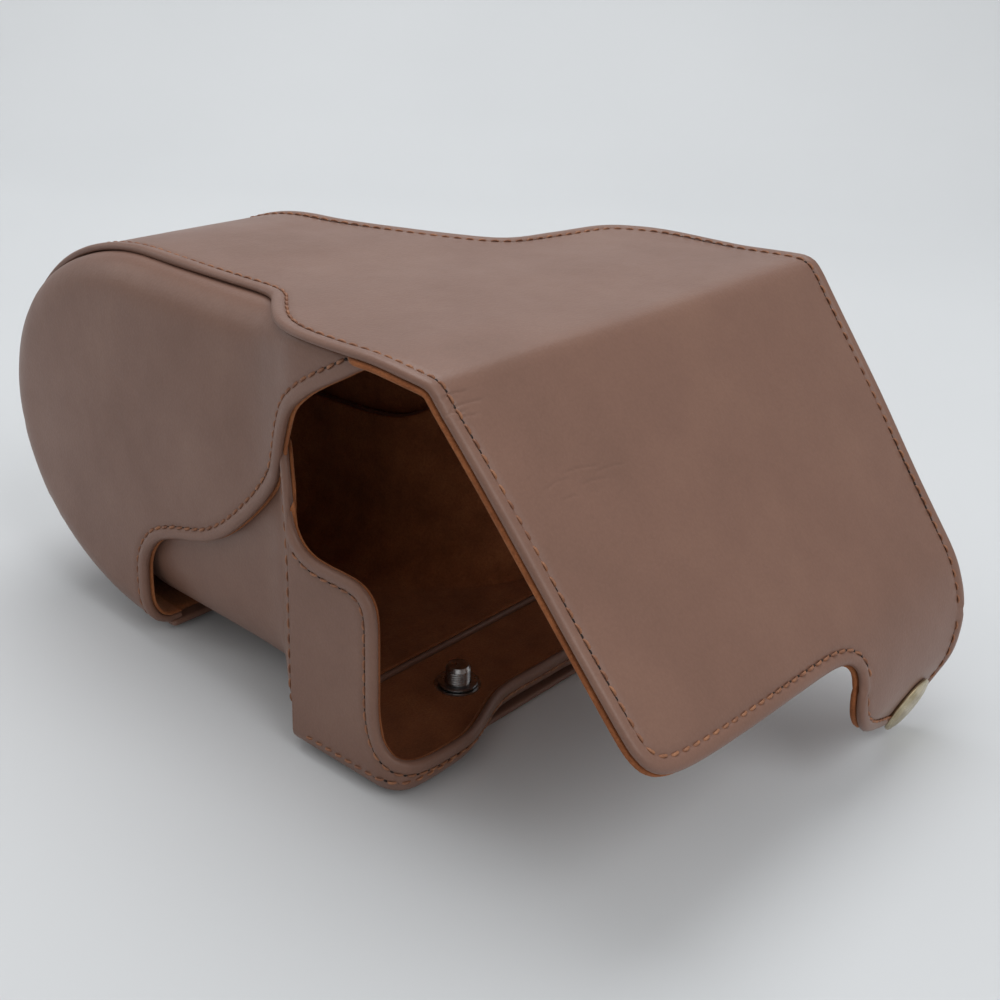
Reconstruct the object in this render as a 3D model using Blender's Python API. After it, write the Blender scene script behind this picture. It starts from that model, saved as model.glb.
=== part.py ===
"""A leather ever ready case for a small camera, open at the back.

Frame: +X is the camera's left hand side, -Y is the front, where the lens points, and +Z is up.
The numbers below are in millimetres. They count X from the middle of the body's width, Y from
the camera's front face and Z from the underside of the base panel. ORIGIN, on the underside of
the sole plate, is where Blender's own origin goes.
"""

from math import asin, cos, degrees, pi, radians, sin, sqrt

import bmesh
import bpy
import numpy as np
from mathutils import Matrix, Vector

MM = 0.001
ORIGIN = Vector((0, 12, -1.8))
GAP = 0.3  # between pieces that touch

# Leather work: each wall is a skin of leather with a suede lining behind it.
SKIN = 1.4
LINING = 0.8
WALL = SKIN + GAP + LINING

# Cover
TOP_Z = 98.0
CREASE_Y = 44.0
NOSE_Y = -61.0  # the flat top ends here and the round front begins
NOSE_LENGTH = 62.0  # from there to the foremost point
NOSE_FLOOR_Z = 0.2
NOSE_HEIGHT = TOP_Z - NOSE_FLOOR_Z
NOSE_MID_Z = NOSE_FLOOR_Z + NOSE_HEIGHT / 2
NEAR_TOP_EDGE = [
    (62.6, 44), (64.4, 30), (64.6, 16), (64.2, 4), (62.2, 0), (57.5, -5),
    (53, -12), (50.4, -20), (49.8, -40), (49.5, -61), (48.6, -90), (47.5, -124),
]
FAR_TOP_EDGE = [
    (-62.6, 44), (-65.4, 31), (-65.8, 18), (-64.6, 6), (-61, -2.6), (-53.6, -9.6),
    (-38, -13.2), (-24.5, -17), (-17, -28), (-11.6, -42), (-7.4, -56), (-6, -66),
    (-5.6, -90), (-4.6, -124),
]
NEAR_SIDE = [
    (62.8, 17), (62.8, 10), (62.4, 2), (60.4, -4), (57.8, -10), (56.6, -17),
    (56.4, -30), (56.2, -61), (55.6, -90), (54.4, -123),
]
FAR_SIDE = [
    (-63.8, 17), (-63.6, 10), (-62.8, 4), (-59.4, -4), (-52.4, -9), (-38, -12.2),
    (-26.6, -15.6), (-20.6, -23), (-16, -36), (-13.6, -50), (-13, -61), (-12.6, -90),
    (-11.6, -123),
]
# Height of each side shell's free edge along its plan, as (y, z) from the back to the notch.
NEAR_FREE_EDGE = [
    (27, 95), (16.5, 90), (6.4, 84), (1.6, 79.4), (-1.8, 71), (-6, 62), (-14, 53.4),
    (-25.5, 41.6), (-33, 37), (-41, 34.4), (-50, 31.6), (-56, 28), (-60, 21),
]
FAR_FREE_EDGE = [
    (27, 95), (16.5, 90), (6.4, 84), (0, 76), (-6, 64), (-12, 54), (-20, 46),
    (-33, 38), (-41, 34.4), (-50, 31.6), (-56, 28), (-60, 21),
]
NOTCH_FRONT_Y = -61.6
NOSE_EDGE_ROUND = 9.0
BODY_EDGE_ROUND = 2.0
EDGE_TUCK = 0.8  # how far in the rounded edge comes, as a share of its rounding
SEAM_GAP = 0.4

# Flap and its tab
REST_ANGLE = radians(40)  # the flap leans out from vertical by this much
FLAP_STRAIGHT = 74.6
FLAP_CURL_RADIUS = 35.0
TAB_FOLD = 100.4  # along the flap, from the crease to the tab's fold
TAB_REST_ANGLE = radians(-20)
TAB_LENGTH = 17.7
FLAP_LOWER_EDGE = 81.0
FLAP_CORNER = 9.0
FLAP_HALF_WIDTH = 61.6
CREASE_SETBACK = 1.8
CREASE_CLEAR = 0.3
TAB_FOLD_CLEAR = 1.5
TAB_X = -41.0
CAP_ALONG = 8.2  # from the tab's fold to the middle of its snap
CLOSED_FLAP_ANGLE = radians(0.5)
CLOSED_TAB_ANGLE = radians(-86)

# Half case
HALF_X = 61.8
SOLE_BOTTOM_Z = -1.8
SOLE_X = (-15.0, 55.0)
SOLE_Y = (1.5, 26.5)
SOLE_CORNER = 4.0
BASE_TOP_Z = 2.2
BASE_FRONT_Y = -3.0
BASE_REAR_Y = 34.0
CUTOUT_REAR_Y = 26.0
WALL_BOTTOM_Z = BASE_TOP_Z + GAP
WALL_TOP_Z = 48.2
RIM_PLAN = [
    (61.8, 0.4), (61.8, 1.6), (61.8, 4), (61.8, 9), (61.8, 20), (61.8, 24), (61.8, 26),
    (61.7, 26.8), (61.2, 28.6), (59.8, 31.6), (57, 33.4), (53, 34),
    (46, 34), (39, 33.6), (32, 31), (24, 27.6), (17, 26), (4, 26), (-8, 26.2), (-17, 28),
    (-25, 31.4), (-32, 33.6), (-40, 34), (-53, 34),
    (-57, 33.4), (-59.8, 31.6), (-61.2, 28.6), (-61.7, 26.8), (-61.8, 26), (-61.8, 24),
    (-61.8, 20), (-61.8, 9), (-61.8, 4), (-61.8, 1.6), (-61.8, 0.4),
]
SIDE_RIM_Z = [58, 53, 49, 48.4, 48.2, 46.2, 41, 15, 9.6, 7.8, 7.2, 7]
LIP_RIM_Z = [7, 6.9, 6.4, 5.8, 5.4, 5.4, 5.4, 5.8, 6.4, 6.9, 7, 7]
FRONT_NEAR_X = [
    (-0.4, 61.4), (-2, 59.8), (-4, 57.6), (-6, 55.8), (-8, 54.6), (-10, 53.7), (-14, 53), (-24, 52.7),
    (-40, 52.5), (-56, 52.3), (-66, 52.2),
]
FRONT_FAR_X = [
    (-0.4, -60.6), (-2, -58), (-4, -53.6), (-6.4, -46), (-8.4, -37), (-11.4, -26), (-16, -20),
    (-24, -16), (-40, -11), (-56, -9.4), (-66, -9.2),
]
FRONT_RIM_Z = [(-0.4, 62), (-8, 62), (-16, 60), (-28, 52), (-40, 49), (-66, 48)]
FRONT_STATIONS = [-0.4, -2, -4, -6, -8, -10, -12, -16, -22, -32, -48, -66]
SCOOP_FLOOR_Z = 3.1
SCOOP_ROUND = 20.0
SCOOP_END_ROUND = 20.0

# Front strap, which ties the nose to the half case
STRAP_FOLD_Y = -60.6
STRAP_FOLD_Z = 1.6
STRAP_X = (10.0, 34.0)
STRAP_REAR_Y = -34.0
STRAP_SETBACK = 0.8
NOSE_BAND_REAR_Y = STRAP_FOLD_Y - 1.8
FRONT_SNAP = (22.0, -43.0)

# Snaps
CAP_RADIUS = 7.5
CAP_HEIGHT = 2.3
POST_RADIUS = 1.3
POST_HOLE = 1.7
SOCKET_OUTER = 5.4
SOCKET_INNER = 3.1
SOCKET_HOLE = SOCKET_OUTER + 0.4
STUD_RADIUS = 2.2
STUD_FLANGE = 3.0
STUD_BOTTOM_Z = -1.6
RIVET_RADIUS = 4.2
STUD_RIVET_RADIUS = 2.7

# Tripod screw, a quarter inch thread
SCREW_PLACE = (22.0, 14.0)
SCREW_RADIUS = 3.0
SCREW_HEAD_RADIUS = 8.0
SCREW_HEAD_BOTTOM_Z = -1.5
SCREW_TIP_Z = 9.0
BUSH_INNER = 3.3
BUSH_OUTER = 5.6
CLIP_OUTER = 4.8

COLOURS = {
    "leather": (0.17, 0.085, 0.058),
    "suede": (0.25, 0.085, 0.04),
    "brass": (0.36, 0.28, 0.16),
    "steel": (0.6, 0.6, 0.6),
}
ROUGHNESS = {"leather": 0.5, "suede": 0.95, "brass": 0.35, "steel": 0.3}


# ---------------------------------------------------------------- small tools


def clear_scene():
    for obj in list(bpy.data.objects):
        bpy.data.objects.remove(obj, do_unlink=True)


def material(node, kind):
    """Each piece's own material, with its leather, suede or metal colour."""
    made = bpy.data.materials.new(node)
    made.use_nodes = True
    shader = made.node_tree.nodes["Principled BSDF"]
    shader.inputs["Base Color"].default_value = (*COLOURS[kind], 1)
    shader.inputs["Roughness"].default_value = ROUGHNESS[kind]
    shader.inputs["Metallic"].default_value = 1.0 if kind in ("brass", "steel") else 0.0
    return made


def body_origin(name, y=0.0, z=0.0, x=0.0):
    """An empty on a moving body's joint axis, which carries the body's pieces."""
    empty = bpy.data.objects.new(name + "_axis", None)
    empty.location = (Vector((x, y, z)) - ORIGIN) * MM
    bpy.context.collection.objects.link(empty)
    return empty


def add_object(node, mesh, kind, body):
    """Links a mesh given in millimetres as a piece of the body."""
    mesh.transform(Matrix.Scale(MM, 4) @ Matrix.Translation(-ORIGIN))
    mesh.materials.append(material(node, kind))
    obj = bpy.data.objects.new(node, mesh)
    bpy.context.collection.objects.link(obj)
    if body:
        mesh.transform(Matrix.Translation(-Vector(body.location)))
        obj.parent = body
    return obj


def smooth_curve(points, count):
    """Evenly spaced points on a Catmull-Rom curve through the given ones."""
    pts = np.array(points, float)
    ends = np.vstack([2 * pts[0] - pts[1], pts, 2 * pts[-1] - pts[-2]])
    dense = []
    for p0, p1, p2, p3 in zip(ends, ends[1:], ends[2:], ends[3:]):
        for t in np.linspace(0, 1, 12, endpoint=False):
            dense.append(
                0.5 * (2 * p1 + (p2 - p0) * t + (2 * p0 - 5 * p1 + 4 * p2 - p3) * t**2
                       + (3 * p1 - p0 - 3 * p2 + p3) * t**3)
            )
    dense = np.array(dense + [pts[-1]])
    run = np.concatenate([[0], np.cumsum(np.linalg.norm(np.diff(dense, axis=0), axis=1))])
    want = np.linspace(0, run[-1], count)
    return np.column_stack([np.interp(want, run, dense[:, i]) for i in range(dense.shape[1])])


def along(points, at, key=0, value=1):
    """Value read at a coordinate that runs one way along the points."""
    table = sorted((p[key], p[value]) for p in points)
    return float(np.interp(at, [p[0] for p in table], [p[1] for p in table]))


def edge_at(points, y):
    """x of a plan edge, a smooth curve through its points, at depth y."""
    return along(smooth_curve(points, 160), y, key=1, value=0)


def grid_normals(grid, square_start):
    """A unit normal at each point of a grid, the mean of the faces round it.

    With square_start the first row's normals have no part along Y, which leaves a square edge.
    """
    down, across = np.diff(grid, axis=0), np.diff(grid, axis=1)
    faces = np.cross(down[:, :-1] + down[:, 1:], across[:-1] + across[1:])
    total = np.zeros_like(grid)
    for rows in (slice(0, -1), slice(1, None)):
        for columns in (slice(0, -1), slice(1, None)):
            total[rows, columns] += faces / np.linalg.norm(faces, axis=2, keepdims=True)
    if square_start:
        total[0, :, 1] = 0
    return total / np.linalg.norm(total, axis=2, keepdims=True)


def sheet(node, grid, thickness, kind, body, depth=0.0, square_start=False):
    """A closed skin of even thickness behind a grid of points, starting depth behind it."""
    grid = np.array(grid, float)
    normals = grid_normals(grid, square_start)
    rows, columns = grid.shape[:2]
    front = (grid - normals * depth).reshape(-1, 3)
    back = (grid - normals * (depth + thickness)).reshape(-1, 3)
    count = rows * columns
    faces = []
    for r in range(rows - 1):
        for c in range(columns - 1):
            corner, below = r * columns + c, (r + 1) * columns + c
            for a, b, d in ((corner, below, below + 1), (corner, below + 1, corner + 1)):
                faces.append((a, b, d))
                faces.append((count + d, count + b, count + a))
    rim = [r * columns for r in range(rows)]
    rim += [(rows - 1) * columns + c for c in range(1, columns)]
    rim += [r * columns + columns - 1 for r in range(rows - 2, -1, -1)]
    rim += list(range(columns - 2, 0, -1))
    for a, b in zip(rim, rim[1:] + rim[:1]):
        faces.append((b, a, count + a, count + b))
    mesh = bpy.data.meshes.new(node)
    mesh.from_pydata([tuple(p) for p in np.vstack([front, back])], [], faces)
    obj = add_object(node, mesh, kind, body)
    mesh.shade_smooth()
    mesh.set_sharp_from_angle(angle=radians(50))
    return obj


def layered(node, grid, body, square_start=False):
    """Leather outside and its suede lining behind it."""
    sheet(node, grid, SKIN, "leather", body, 0.0, square_start)
    sheet(node + "_lining", grid, LINING, "suede", body, SKIN + GAP, square_start)


def prism(node, outline, low, high, kind, body, bevel=0.0):
    """A flat plate with an outline in X and Y, its lower edge rounded off."""
    bm = bmesh.new()
    floor = [bm.verts.new((x, y, low)) for x, y in outline]
    face = bm.faces.new(floor)
    raised = bmesh.ops.extrude_face_region(bm, geom=[face])["geom"]
    bmesh.ops.translate(
        bm, vec=(0, 0, high - low), verts=[v for v in raised if isinstance(v, bmesh.types.BMVert)]
    )
    bmesh.ops.recalc_face_normals(bm, faces=bm.faces)
    if bevel:
        lower = [e for e in bm.edges if all(v.co.z < low + 1e-6 for v in e.verts)]
        bmesh.ops.bevel(bm, geom=lower, offset=bevel, segments=2, affect="EDGES", profile=0.5)
    mesh = bpy.data.meshes.new(node)
    bm.to_mesh(mesh)
    bm.free()
    return add_object(node, mesh, kind, body)


def turned(node, profile, place, normal, kind, body, steps=24):
    """A profile of (radius, height) turned round a normal, from its lower middle to its upper."""
    bm = bmesh.new()
    rings = []
    for radius, height in profile:
        if radius == 0:
            rings.append([bm.verts.new((0, 0, height))])
            continue
        rings.append([
            bm.verts.new((radius * cos(2 * pi * i / steps), radius * sin(2 * pi * i / steps), height))
            for i in range(steps)
        ])
    loop = list(zip(rings, rings[1:]))
    if profile[0][0] and profile[-1][0]:
        loop.append((rings[-1], rings[0]))
    for lower, upper in loop:
        for i in range(steps):
            corners = [lower[i % len(lower)], lower[(i + 1) % len(lower)],
                       upper[(i + 1) % len(upper)], upper[i % len(upper)]]
            bm.faces.new(list(dict.fromkeys(corners)))
    bmesh.ops.recalc_face_normals(bm, faces=bm.faces)
    turn = Vector((0, 0, 1)).rotation_difference(Vector(normal)).to_matrix().to_4x4()
    bm.transform(Matrix.Translation(Vector(place)) @ turn)
    mesh = bpy.data.meshes.new(node)
    bm.to_mesh(mesh)
    bm.free()
    obj = add_object(node, mesh, kind, body)
    mesh.shade_smooth()
    mesh.set_sharp_from_angle(angle=radians(35))
    return obj


def drill(node, place, normal, radius, body):
    """Cuts a round hole through a piece, along the normal at the place."""
    reach = 8.0
    cutter = turned(f"{node}_hole_{round(radius * 10)}", [(0, -reach), (radius, -reach),
                    (radius, reach), (0, reach)], place, normal, "steel", body)
    cutter.hide_render = True
    cutter.display_type = "WIRE"
    cut = bpy.data.objects[node].modifiers.new("hole", "BOOLEAN")
    cut.operation = "DIFFERENCE"
    cut.solver = "EXACT"
    cut.object = cutter


# ---------------------------------------------------------------- the flap's curve


def flap_middle(s, start, lean, origin=(CREASE_Y - 0.6, TOP_Z - WALL / 2)):
    """(y, z, angle) of the flap's mid line at s beyond the crease, leaning out by lean."""
    y = origin[0] + min(s, start) * sin(lean)
    z = origin[1] - min(s, start) * cos(lean)
    if s <= start:
        return y, z, lean
    angle = lean - (s - start) / FLAP_CURL_RADIUS
    y += FLAP_CURL_RADIUS * (cos(angle) - cos(lean))
    z -= FLAP_CURL_RADIUS * (sin(lean) - sin(angle))
    return y, z, angle


def tab_middle(s, lean, angle):
    """(y, z, angle) of the tab's mid line at s beyond its fold."""
    y, z, _ = flap_middle(TAB_FOLD, FLAP_STRAIGHT, lean)
    return y + s * sin(angle), z - s * cos(angle), angle


def outside(y, z, angle, distance=WALL / 2):
    """A point moved out from the mid line, towards the side that faces the world."""
    return y + distance * cos(angle), z + distance * sin(angle)


CREASE_AXIS = flap_middle(0, FLAP_STRAIGHT, REST_ANGLE)[:2]
TAB_AXIS = flap_middle(TAB_FOLD, FLAP_STRAIGHT, REST_ANGLE)[:2]
CLOSED_SNAP_Y = tab_middle(CAP_ALONG, CLOSED_FLAP_ANGLE, CLOSED_TAB_ANGLE)[0]


# ---------------------------------------------------------------- cover


def nose_arc(angle, shrink=0.0):
    """(y, z) on the nose's round front, from 90 degrees at the top to -90 at the bottom."""
    return (
        NOSE_Y - (NOSE_LENGTH - shrink) * cos(angle),
        NOSE_MID_Z + (NOSE_HEIGHT / 2 - shrink) * sin(angle),
    )


def strip_row(y, z):
    """The strip from its far edge to its near edge at one place along it."""
    near, far = edge_at(NEAR_TOP_EDGE, y), edge_at(FAR_TOP_EDGE, y)
    return [(far + (near - far) * t, y, z) for t in np.linspace(0, 1, 6)]


def make_top(cover):
    """The strip's flat top, from the crease forward to the round nose."""
    depths = [CREASE_AXIS[0] - CREASE_SETBACK, 30, 16, 5, 1, -2, -5, -8, -10.5, -13, -16, -20, -28,
              -40, -50, NOSE_Y + GAP / 2]
    layered("top_panel", [strip_row(y, TOP_Z) for y in depths], cover)


def make_nose_band(cover):
    """The same strip going on down the round front and back under the lens."""
    stations = [nose_arc(radians(a)) for a in np.linspace(90, -90, 19)]
    stations[0] = (NOSE_Y - GAP / 2, TOP_Z)
    stations[-1] = (NOSE_BAND_REAR_Y, NOSE_FLOOR_Z)
    layered("nose_band", [strip_row(y, z) for y, z in stations], cover)


def side_column(x, y, normal, free_z):
    """One upright line of a side shell, from under the strip down to the free edge."""
    inset = WALL + SEAM_GAP
    top = TOP_Z - inset
    floor = free_z
    if y < NOSE_Y:
        reach = sqrt(max(0.0, 1 - ((y - NOSE_Y) / (NOSE_LENGTH - inset)) ** 2))
        top = NOSE_MID_Z + (NOSE_HEIGHT / 2 - inset) * reach
        if free_z is None:
            floor = NOSE_MID_Z - (NOSE_HEIGHT / 2 - inset) * reach
    blend = min(1.0, max(0.0, (4 - y) / 20))
    rounding = BODY_EDGE_ROUND + (NOSE_EDGE_ROUND - BODY_EDGE_ROUND) * blend
    height = top - floor
    close, near = min(3, height / 8), min(8, height / 4)
    column = []
    for drop in (0, close, near, height * 0.3, height * 0.5, height * 0.7, height - near,
                 height - close, height):
        z = top - drop
        gap = drop
        if y < NOSE_Y:
            ring = sqrt(((y - NOSE_Y) / (NOSE_LENGTH - inset)) ** 2
                        + ((z - NOSE_MID_Z) / (NOSE_HEIGHT / 2 - inset)) ** 2)
            gap = (1 - ring) * NOSE_HEIGHT / 2
        bend = 1 - min(1.0, max(0.0, gap / rounding))
        back = rounding * EDGE_TUCK * (1 - sqrt(max(0.0, 1 - bend * bend)))
        column.append((x - normal[0] * back, y - normal[1] * back, z))
    return column


def side_shell(node, plan, free_edge, facing, cover):
    """A moulded side: body side, shoulder and round nose cheek in one skin."""
    foremost = NOSE_Y - NOSE_LENGTH + WALL + SEAM_GAP + 1.0
    points = smooth_curve(plan, 28)
    points = points[points[:, 1] > foremost]
    tangents = np.gradient(points, axis=0)
    grid = []
    for (x, y), (tx, ty) in zip(points, tangents):
        length = sqrt(tx * tx + ty * ty)
        normal = (facing * abs(ty) / length, -abs(tx) / length * (1 if y > -55 else 0))
        free_z = along(free_edge, y) if y > NOTCH_FRONT_Y else None
        if free_z is not None:
            free_z = min(free_z, TOP_Z - WALL - SEAM_GAP - 1.5)
        grid.append(side_column(x, y, normal, free_z))
    layered(node, grid if facing > 0 else grid[::-1], cover)


# ---------------------------------------------------------------- flap and tab


def flap_row(s, near, far):
    y, z, angle = flap_middle(s, FLAP_STRAIGHT, REST_ANGLE)
    y, z = outside(y, z, angle)
    return [(near + (far - near) * t, y, z) for t in np.linspace(0, 1, 6)]


def tab_edges(s):
    """Near and far edge of the tapering tab at s from the crease."""
    near = along([(81, -4), (84, -9.5), (90, -11.5), (96, -14.5), (102, -18.6), (108, -24),
                  (112, -28.4), (115, -32.6), (117, -36.6), (118.1, -40.4)], s)
    far = along([(81, -61.6), (92, -61.4), (98, -59.6), (104, -57), (109, -53.8), (113, -50.4),
                 (116, -46.8), (117.4, -44.4), (118.1, -42.4)], s)
    return near, far


def make_flap(flap):
    """The back flap with the curled root of its tab."""
    rows = []
    for s in (CREASE_CLEAR, 20, 40, 60, FLAP_LOWER_EDGE - FLAP_CORNER):
        rows.append(flap_row(s, FLAP_HALF_WIDTH, -FLAP_HALF_WIDTH))
    for turn in (30, 60, 85):
        back = FLAP_CORNER * (1 - cos(radians(turn)))
        s = FLAP_LOWER_EDGE - FLAP_CORNER * (1 - sin(radians(turn)))
        rows.append(flap_row(s, FLAP_HALF_WIDTH - back, -FLAP_HALF_WIDTH))
    for s in (FLAP_LOWER_EDGE + 0.4, 83, 86, 90, 95, TAB_FOLD - TAB_FOLD_CLEAR):
        rows.append(flap_row(s, *tab_edges(s)))
    layered("flap_panel", rows, flap)


def make_tab(tab):
    """The tab's end beyond its fold, with the snap that it carries."""
    rows = []
    for s in (TAB_FOLD_CLEAR * 0.2, 4, 8, 12, 14.4, 16.2, 17.2, TAB_LENGTH):
        y, z = outside(*tab_middle(s, REST_ANGLE, TAB_REST_ANGLE))
        near, far = tab_edges(TAB_FOLD + s)
        rows.append([(near + (far - near) * t, y, z) for t in np.linspace(0, 1, 6)])
    layered("tab_panel", rows, tab)
    mid = tab_middle(CAP_ALONG, REST_ANGLE, TAB_REST_ANGLE)
    normal = (0, cos(TAB_REST_ANGLE), sin(TAB_REST_ANGLE))
    place = (TAB_X, *outside(*mid))
    snap_pair("snap", place, normal, "tab_panel", tab)


def snap_pair(name, place, normal, panel, body):
    """A domed cap outside the leather, its post through it, and a socket ring in the lining."""
    cap = [(0, -SKIN), (POST_RADIUS, -SKIN), (POST_RADIUS, GAP), (CAP_RADIUS - 0.4, GAP),
           (CAP_RADIUS, GAP + 0.5)]
    cap += [(CAP_RADIUS * cos(radians(a)) ** 0.8, GAP + 0.5 + (CAP_HEIGHT - 0.5) * sin(radians(a)))
            for a in (20, 40, 60, 75)]
    cap.append((0, GAP + CAP_HEIGHT))
    turned(name + "_cap", cap, place, normal, "brass", body)
    back = -(SKIN + GAP)
    socket = [(SOCKET_INNER, back - LINING), (SOCKET_OUTER, back - LINING), (SOCKET_OUTER, back),
              (SOCKET_INNER, back)]
    turned(name + "_socket", socket, place, normal, "brass", body)
    drill(panel, place, normal, POST_HOLE, body)
    drill(panel + "_lining", place, normal, SOCKET_HOLE, body)


# ---------------------------------------------------------------- half case


def base_outline(inset=0.0):
    """The base's plan, following the rim with the front edge straight."""
    rear = [(x - np.sign(x) * inset if abs(x) > 57 else x, y - inset) for x, y in RIM_PLAN if y > 4]
    return rear + [(-HALF_X + inset, 2), (-HALF_X + 6, BASE_FRONT_Y + inset),
                   (HALF_X - 6, BASE_FRONT_Y + inset), (HALF_X - inset, 2)]


def make_sole():
    """The hard plate that the case stands on, with a recess for the tripod screw's head."""
    outline = []
    for turn, x, y in ((0, SOLE_X[1], SOLE_Y[1]), (90, SOLE_X[0], SOLE_Y[1]),
                       (180, SOLE_X[0], SOLE_Y[0]), (270, SOLE_X[1], SOLE_Y[0])):
        for a in (0, 45, 90):
            angle = radians(turn + a)
            middle_x = x - SOLE_CORNER if x > 0 else x + SOLE_CORNER
            middle_y = y - SOLE_CORNER if y > SOLE_Y[0] else y + SOLE_CORNER
            outline.append((middle_x + SOLE_CORNER * cos(angle), middle_y + SOLE_CORNER * sin(angle)))
    prism("base_sole", outline, SOLE_BOTTOM_Z, -GAP, "leather", None)
    drill("base_sole", (*SCREW_PLACE, 0), (0, 0, 1), SCREW_HEAD_RADIUS + GAP, None)


def make_base():
    prism("base_panel", base_outline(), 0, BASE_TOP_Z, "leather", None, bevel=1.6)
    prism("base_lining", base_outline(3.2), WALL_BOTTOM_Z, WALL_BOTTOM_Z + 1.0, "suede", None)


def rim_wall(node, plan, tops):
    """An upright wall of the half case on its plan, each place with its own height."""
    grid = [[(x, y, WALL_BOTTOM_Z + (top - WALL_BOTTOM_Z) * t) for t in (0, 0.4, 1)]
            for (x, y), top in zip(plan, tops)]
    layered(node, grid, None)


def make_rim():
    count = len(SIDE_RIM_Z)
    rim_wall("left_wall", RIM_PLAN[:count], SIDE_RIM_Z)
    middle = [(52.4, 34)] + RIM_PLAN[count:-count] + [(-52.4, 34)]
    rim_wall("rear_lip", middle, [LIP_RIM_Z[0]] + LIP_RIM_Z + [LIP_RIM_Z[-1]])
    rim_wall("right_wall", RIM_PLAN[-count:], SIDE_RIM_Z[::-1])


def front_section(y, inset):
    """A U of the moulded front at depth y, drawn in on all sides by inset."""
    near = along(FRONT_NEAR_X, max(y, FRONT_STATIONS[-1])) - inset
    far = along(FRONT_FAR_X, max(y, FRONT_STATIONS[-1])) + inset
    rim = along(FRONT_RIM_Z, max(y, FRONT_STATIONS[-1]))
    floor = SCOOP_FLOOR_Z + inset
    near_round = SCOOP_ROUND - inset * 0.8
    far_round = along([(-0.4, 5), (-14, 8), (-30, SCOOP_ROUND)], y) - inset * 0.8
    near_round = along([(-0.4, 10), (-10, SCOOP_ROUND)], y) - inset * 0.8 if y > -10 else near_round
    points = [(near, y, rim), (near, y, (rim + floor + near_round) / 2)]
    for a in (0, 22.5, 45, 67.5, 90):
        points.append((near - near_round * (1 - cos(radians(a))), y,
                       floor + near_round * (1 - sin(radians(a)))))
    for a in (90, 67.5, 45, 22.5, 0):
        points.append((far + far_round * (1 - cos(radians(a))), y,
                       floor + far_round * (1 - sin(radians(a)))))
    return points + [(far, y, (rim + floor + far_round) / 2), (far, y, rim)]


def make_front():
    """The moulded front, which carries on forward as a scoop under the lens."""
    grid = [front_section(y, 0) for y in FRONT_STATIONS]
    for a in (25, 45, 62, 78):
        inset = SCOOP_END_ROUND * (1 - cos(radians(a)))
        grid.append(front_section(FRONT_STATIONS[-1] - SCOOP_END_ROUND * sin(radians(a)), inset))
    layered("front_shell", grid, None, square_start=True)


def make_front_strap():
    """The short strap sewn to the nose's lower edge, snapped under the scoop."""
    low, high = STRAP_X
    rear, front = STRAP_REAR_Y, STRAP_FOLD_Y + STRAP_SETBACK
    outline = [(low, front), (high, front), (high, rear - 8)]
    outline += [((low + high) / 2 + 12 * cos(radians(a)), rear - 8 + 8 * sin(radians(a)))
                for a in range(20, 180, 20)]
    outline.append((low, rear - 8))
    bottom = STRAP_FOLD_Z - 0.9
    prism("front_strap", outline, bottom, bottom + SKIN, "leather", None)
    turned("front_snap_cap", [(0, bottom - 1.6), (3.4, bottom - 1.4), (5.4, bottom - 0.9),
           (6, bottom - GAP), (POST_RADIUS, bottom - GAP), (POST_RADIUS, bottom + SKIN),
           (0, bottom + SKIN)], (*FRONT_SNAP, 0), (0, 0, 1), "brass", None)
    drill("front_strap", (*FRONT_SNAP, bottom), (0, 0, 1), POST_HOLE, None)
    floor = SCOOP_FLOOR_Z + WALL + GAP
    turned("front_snap_rivet", [(0, SCOOP_FLOOR_Z - 0.6), (POST_RADIUS, SCOOP_FLOOR_Z - 0.6),
           (POST_RADIUS, floor), (RIVET_RADIUS, floor), (RIVET_RADIUS - 0.6, floor + 0.7),
           (0, floor + 0.9)], (*FRONT_SNAP, 0), (0, 0, 1), "brass", None)
    for node in ("front_shell", "front_shell_lining"):
        drill(node, (*FRONT_SNAP, SCOOP_FLOOR_Z), (0, 0, 1), POST_HOLE, None)


def make_rear_stud():
    """The stud under the base that the tab's snap closes on, and its rivet inside."""
    place = (TAB_X, CLOSED_SNAP_Y, 0)
    turned("snap_stud", [(0, STUD_BOTTOM_Z), (STUD_RADIUS - 0.4, STUD_BOTTOM_Z),
           (STUD_RADIUS, STUD_BOTTOM_Z + 0.4), (STUD_RADIUS - 0.4, -0.8), (STUD_FLANGE, -0.7),
           (STUD_FLANGE, -GAP), (POST_RADIUS, -GAP), (POST_RADIUS, 3.6), (0, 3.6)],
           place, (0, 0, 1), "brass", None)
    turned("stud_rivet", [(0, 3.9), (STUD_RIVET_RADIUS, 3.9), (STUD_RIVET_RADIUS - 0.6, 4.6),
           (0, 4.8)], place, (0, 0, 1), "brass", None)
    for node in ("base_panel", "base_lining"):
        drill(node, place, (0, 0, 1), POST_HOLE, None)


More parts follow.
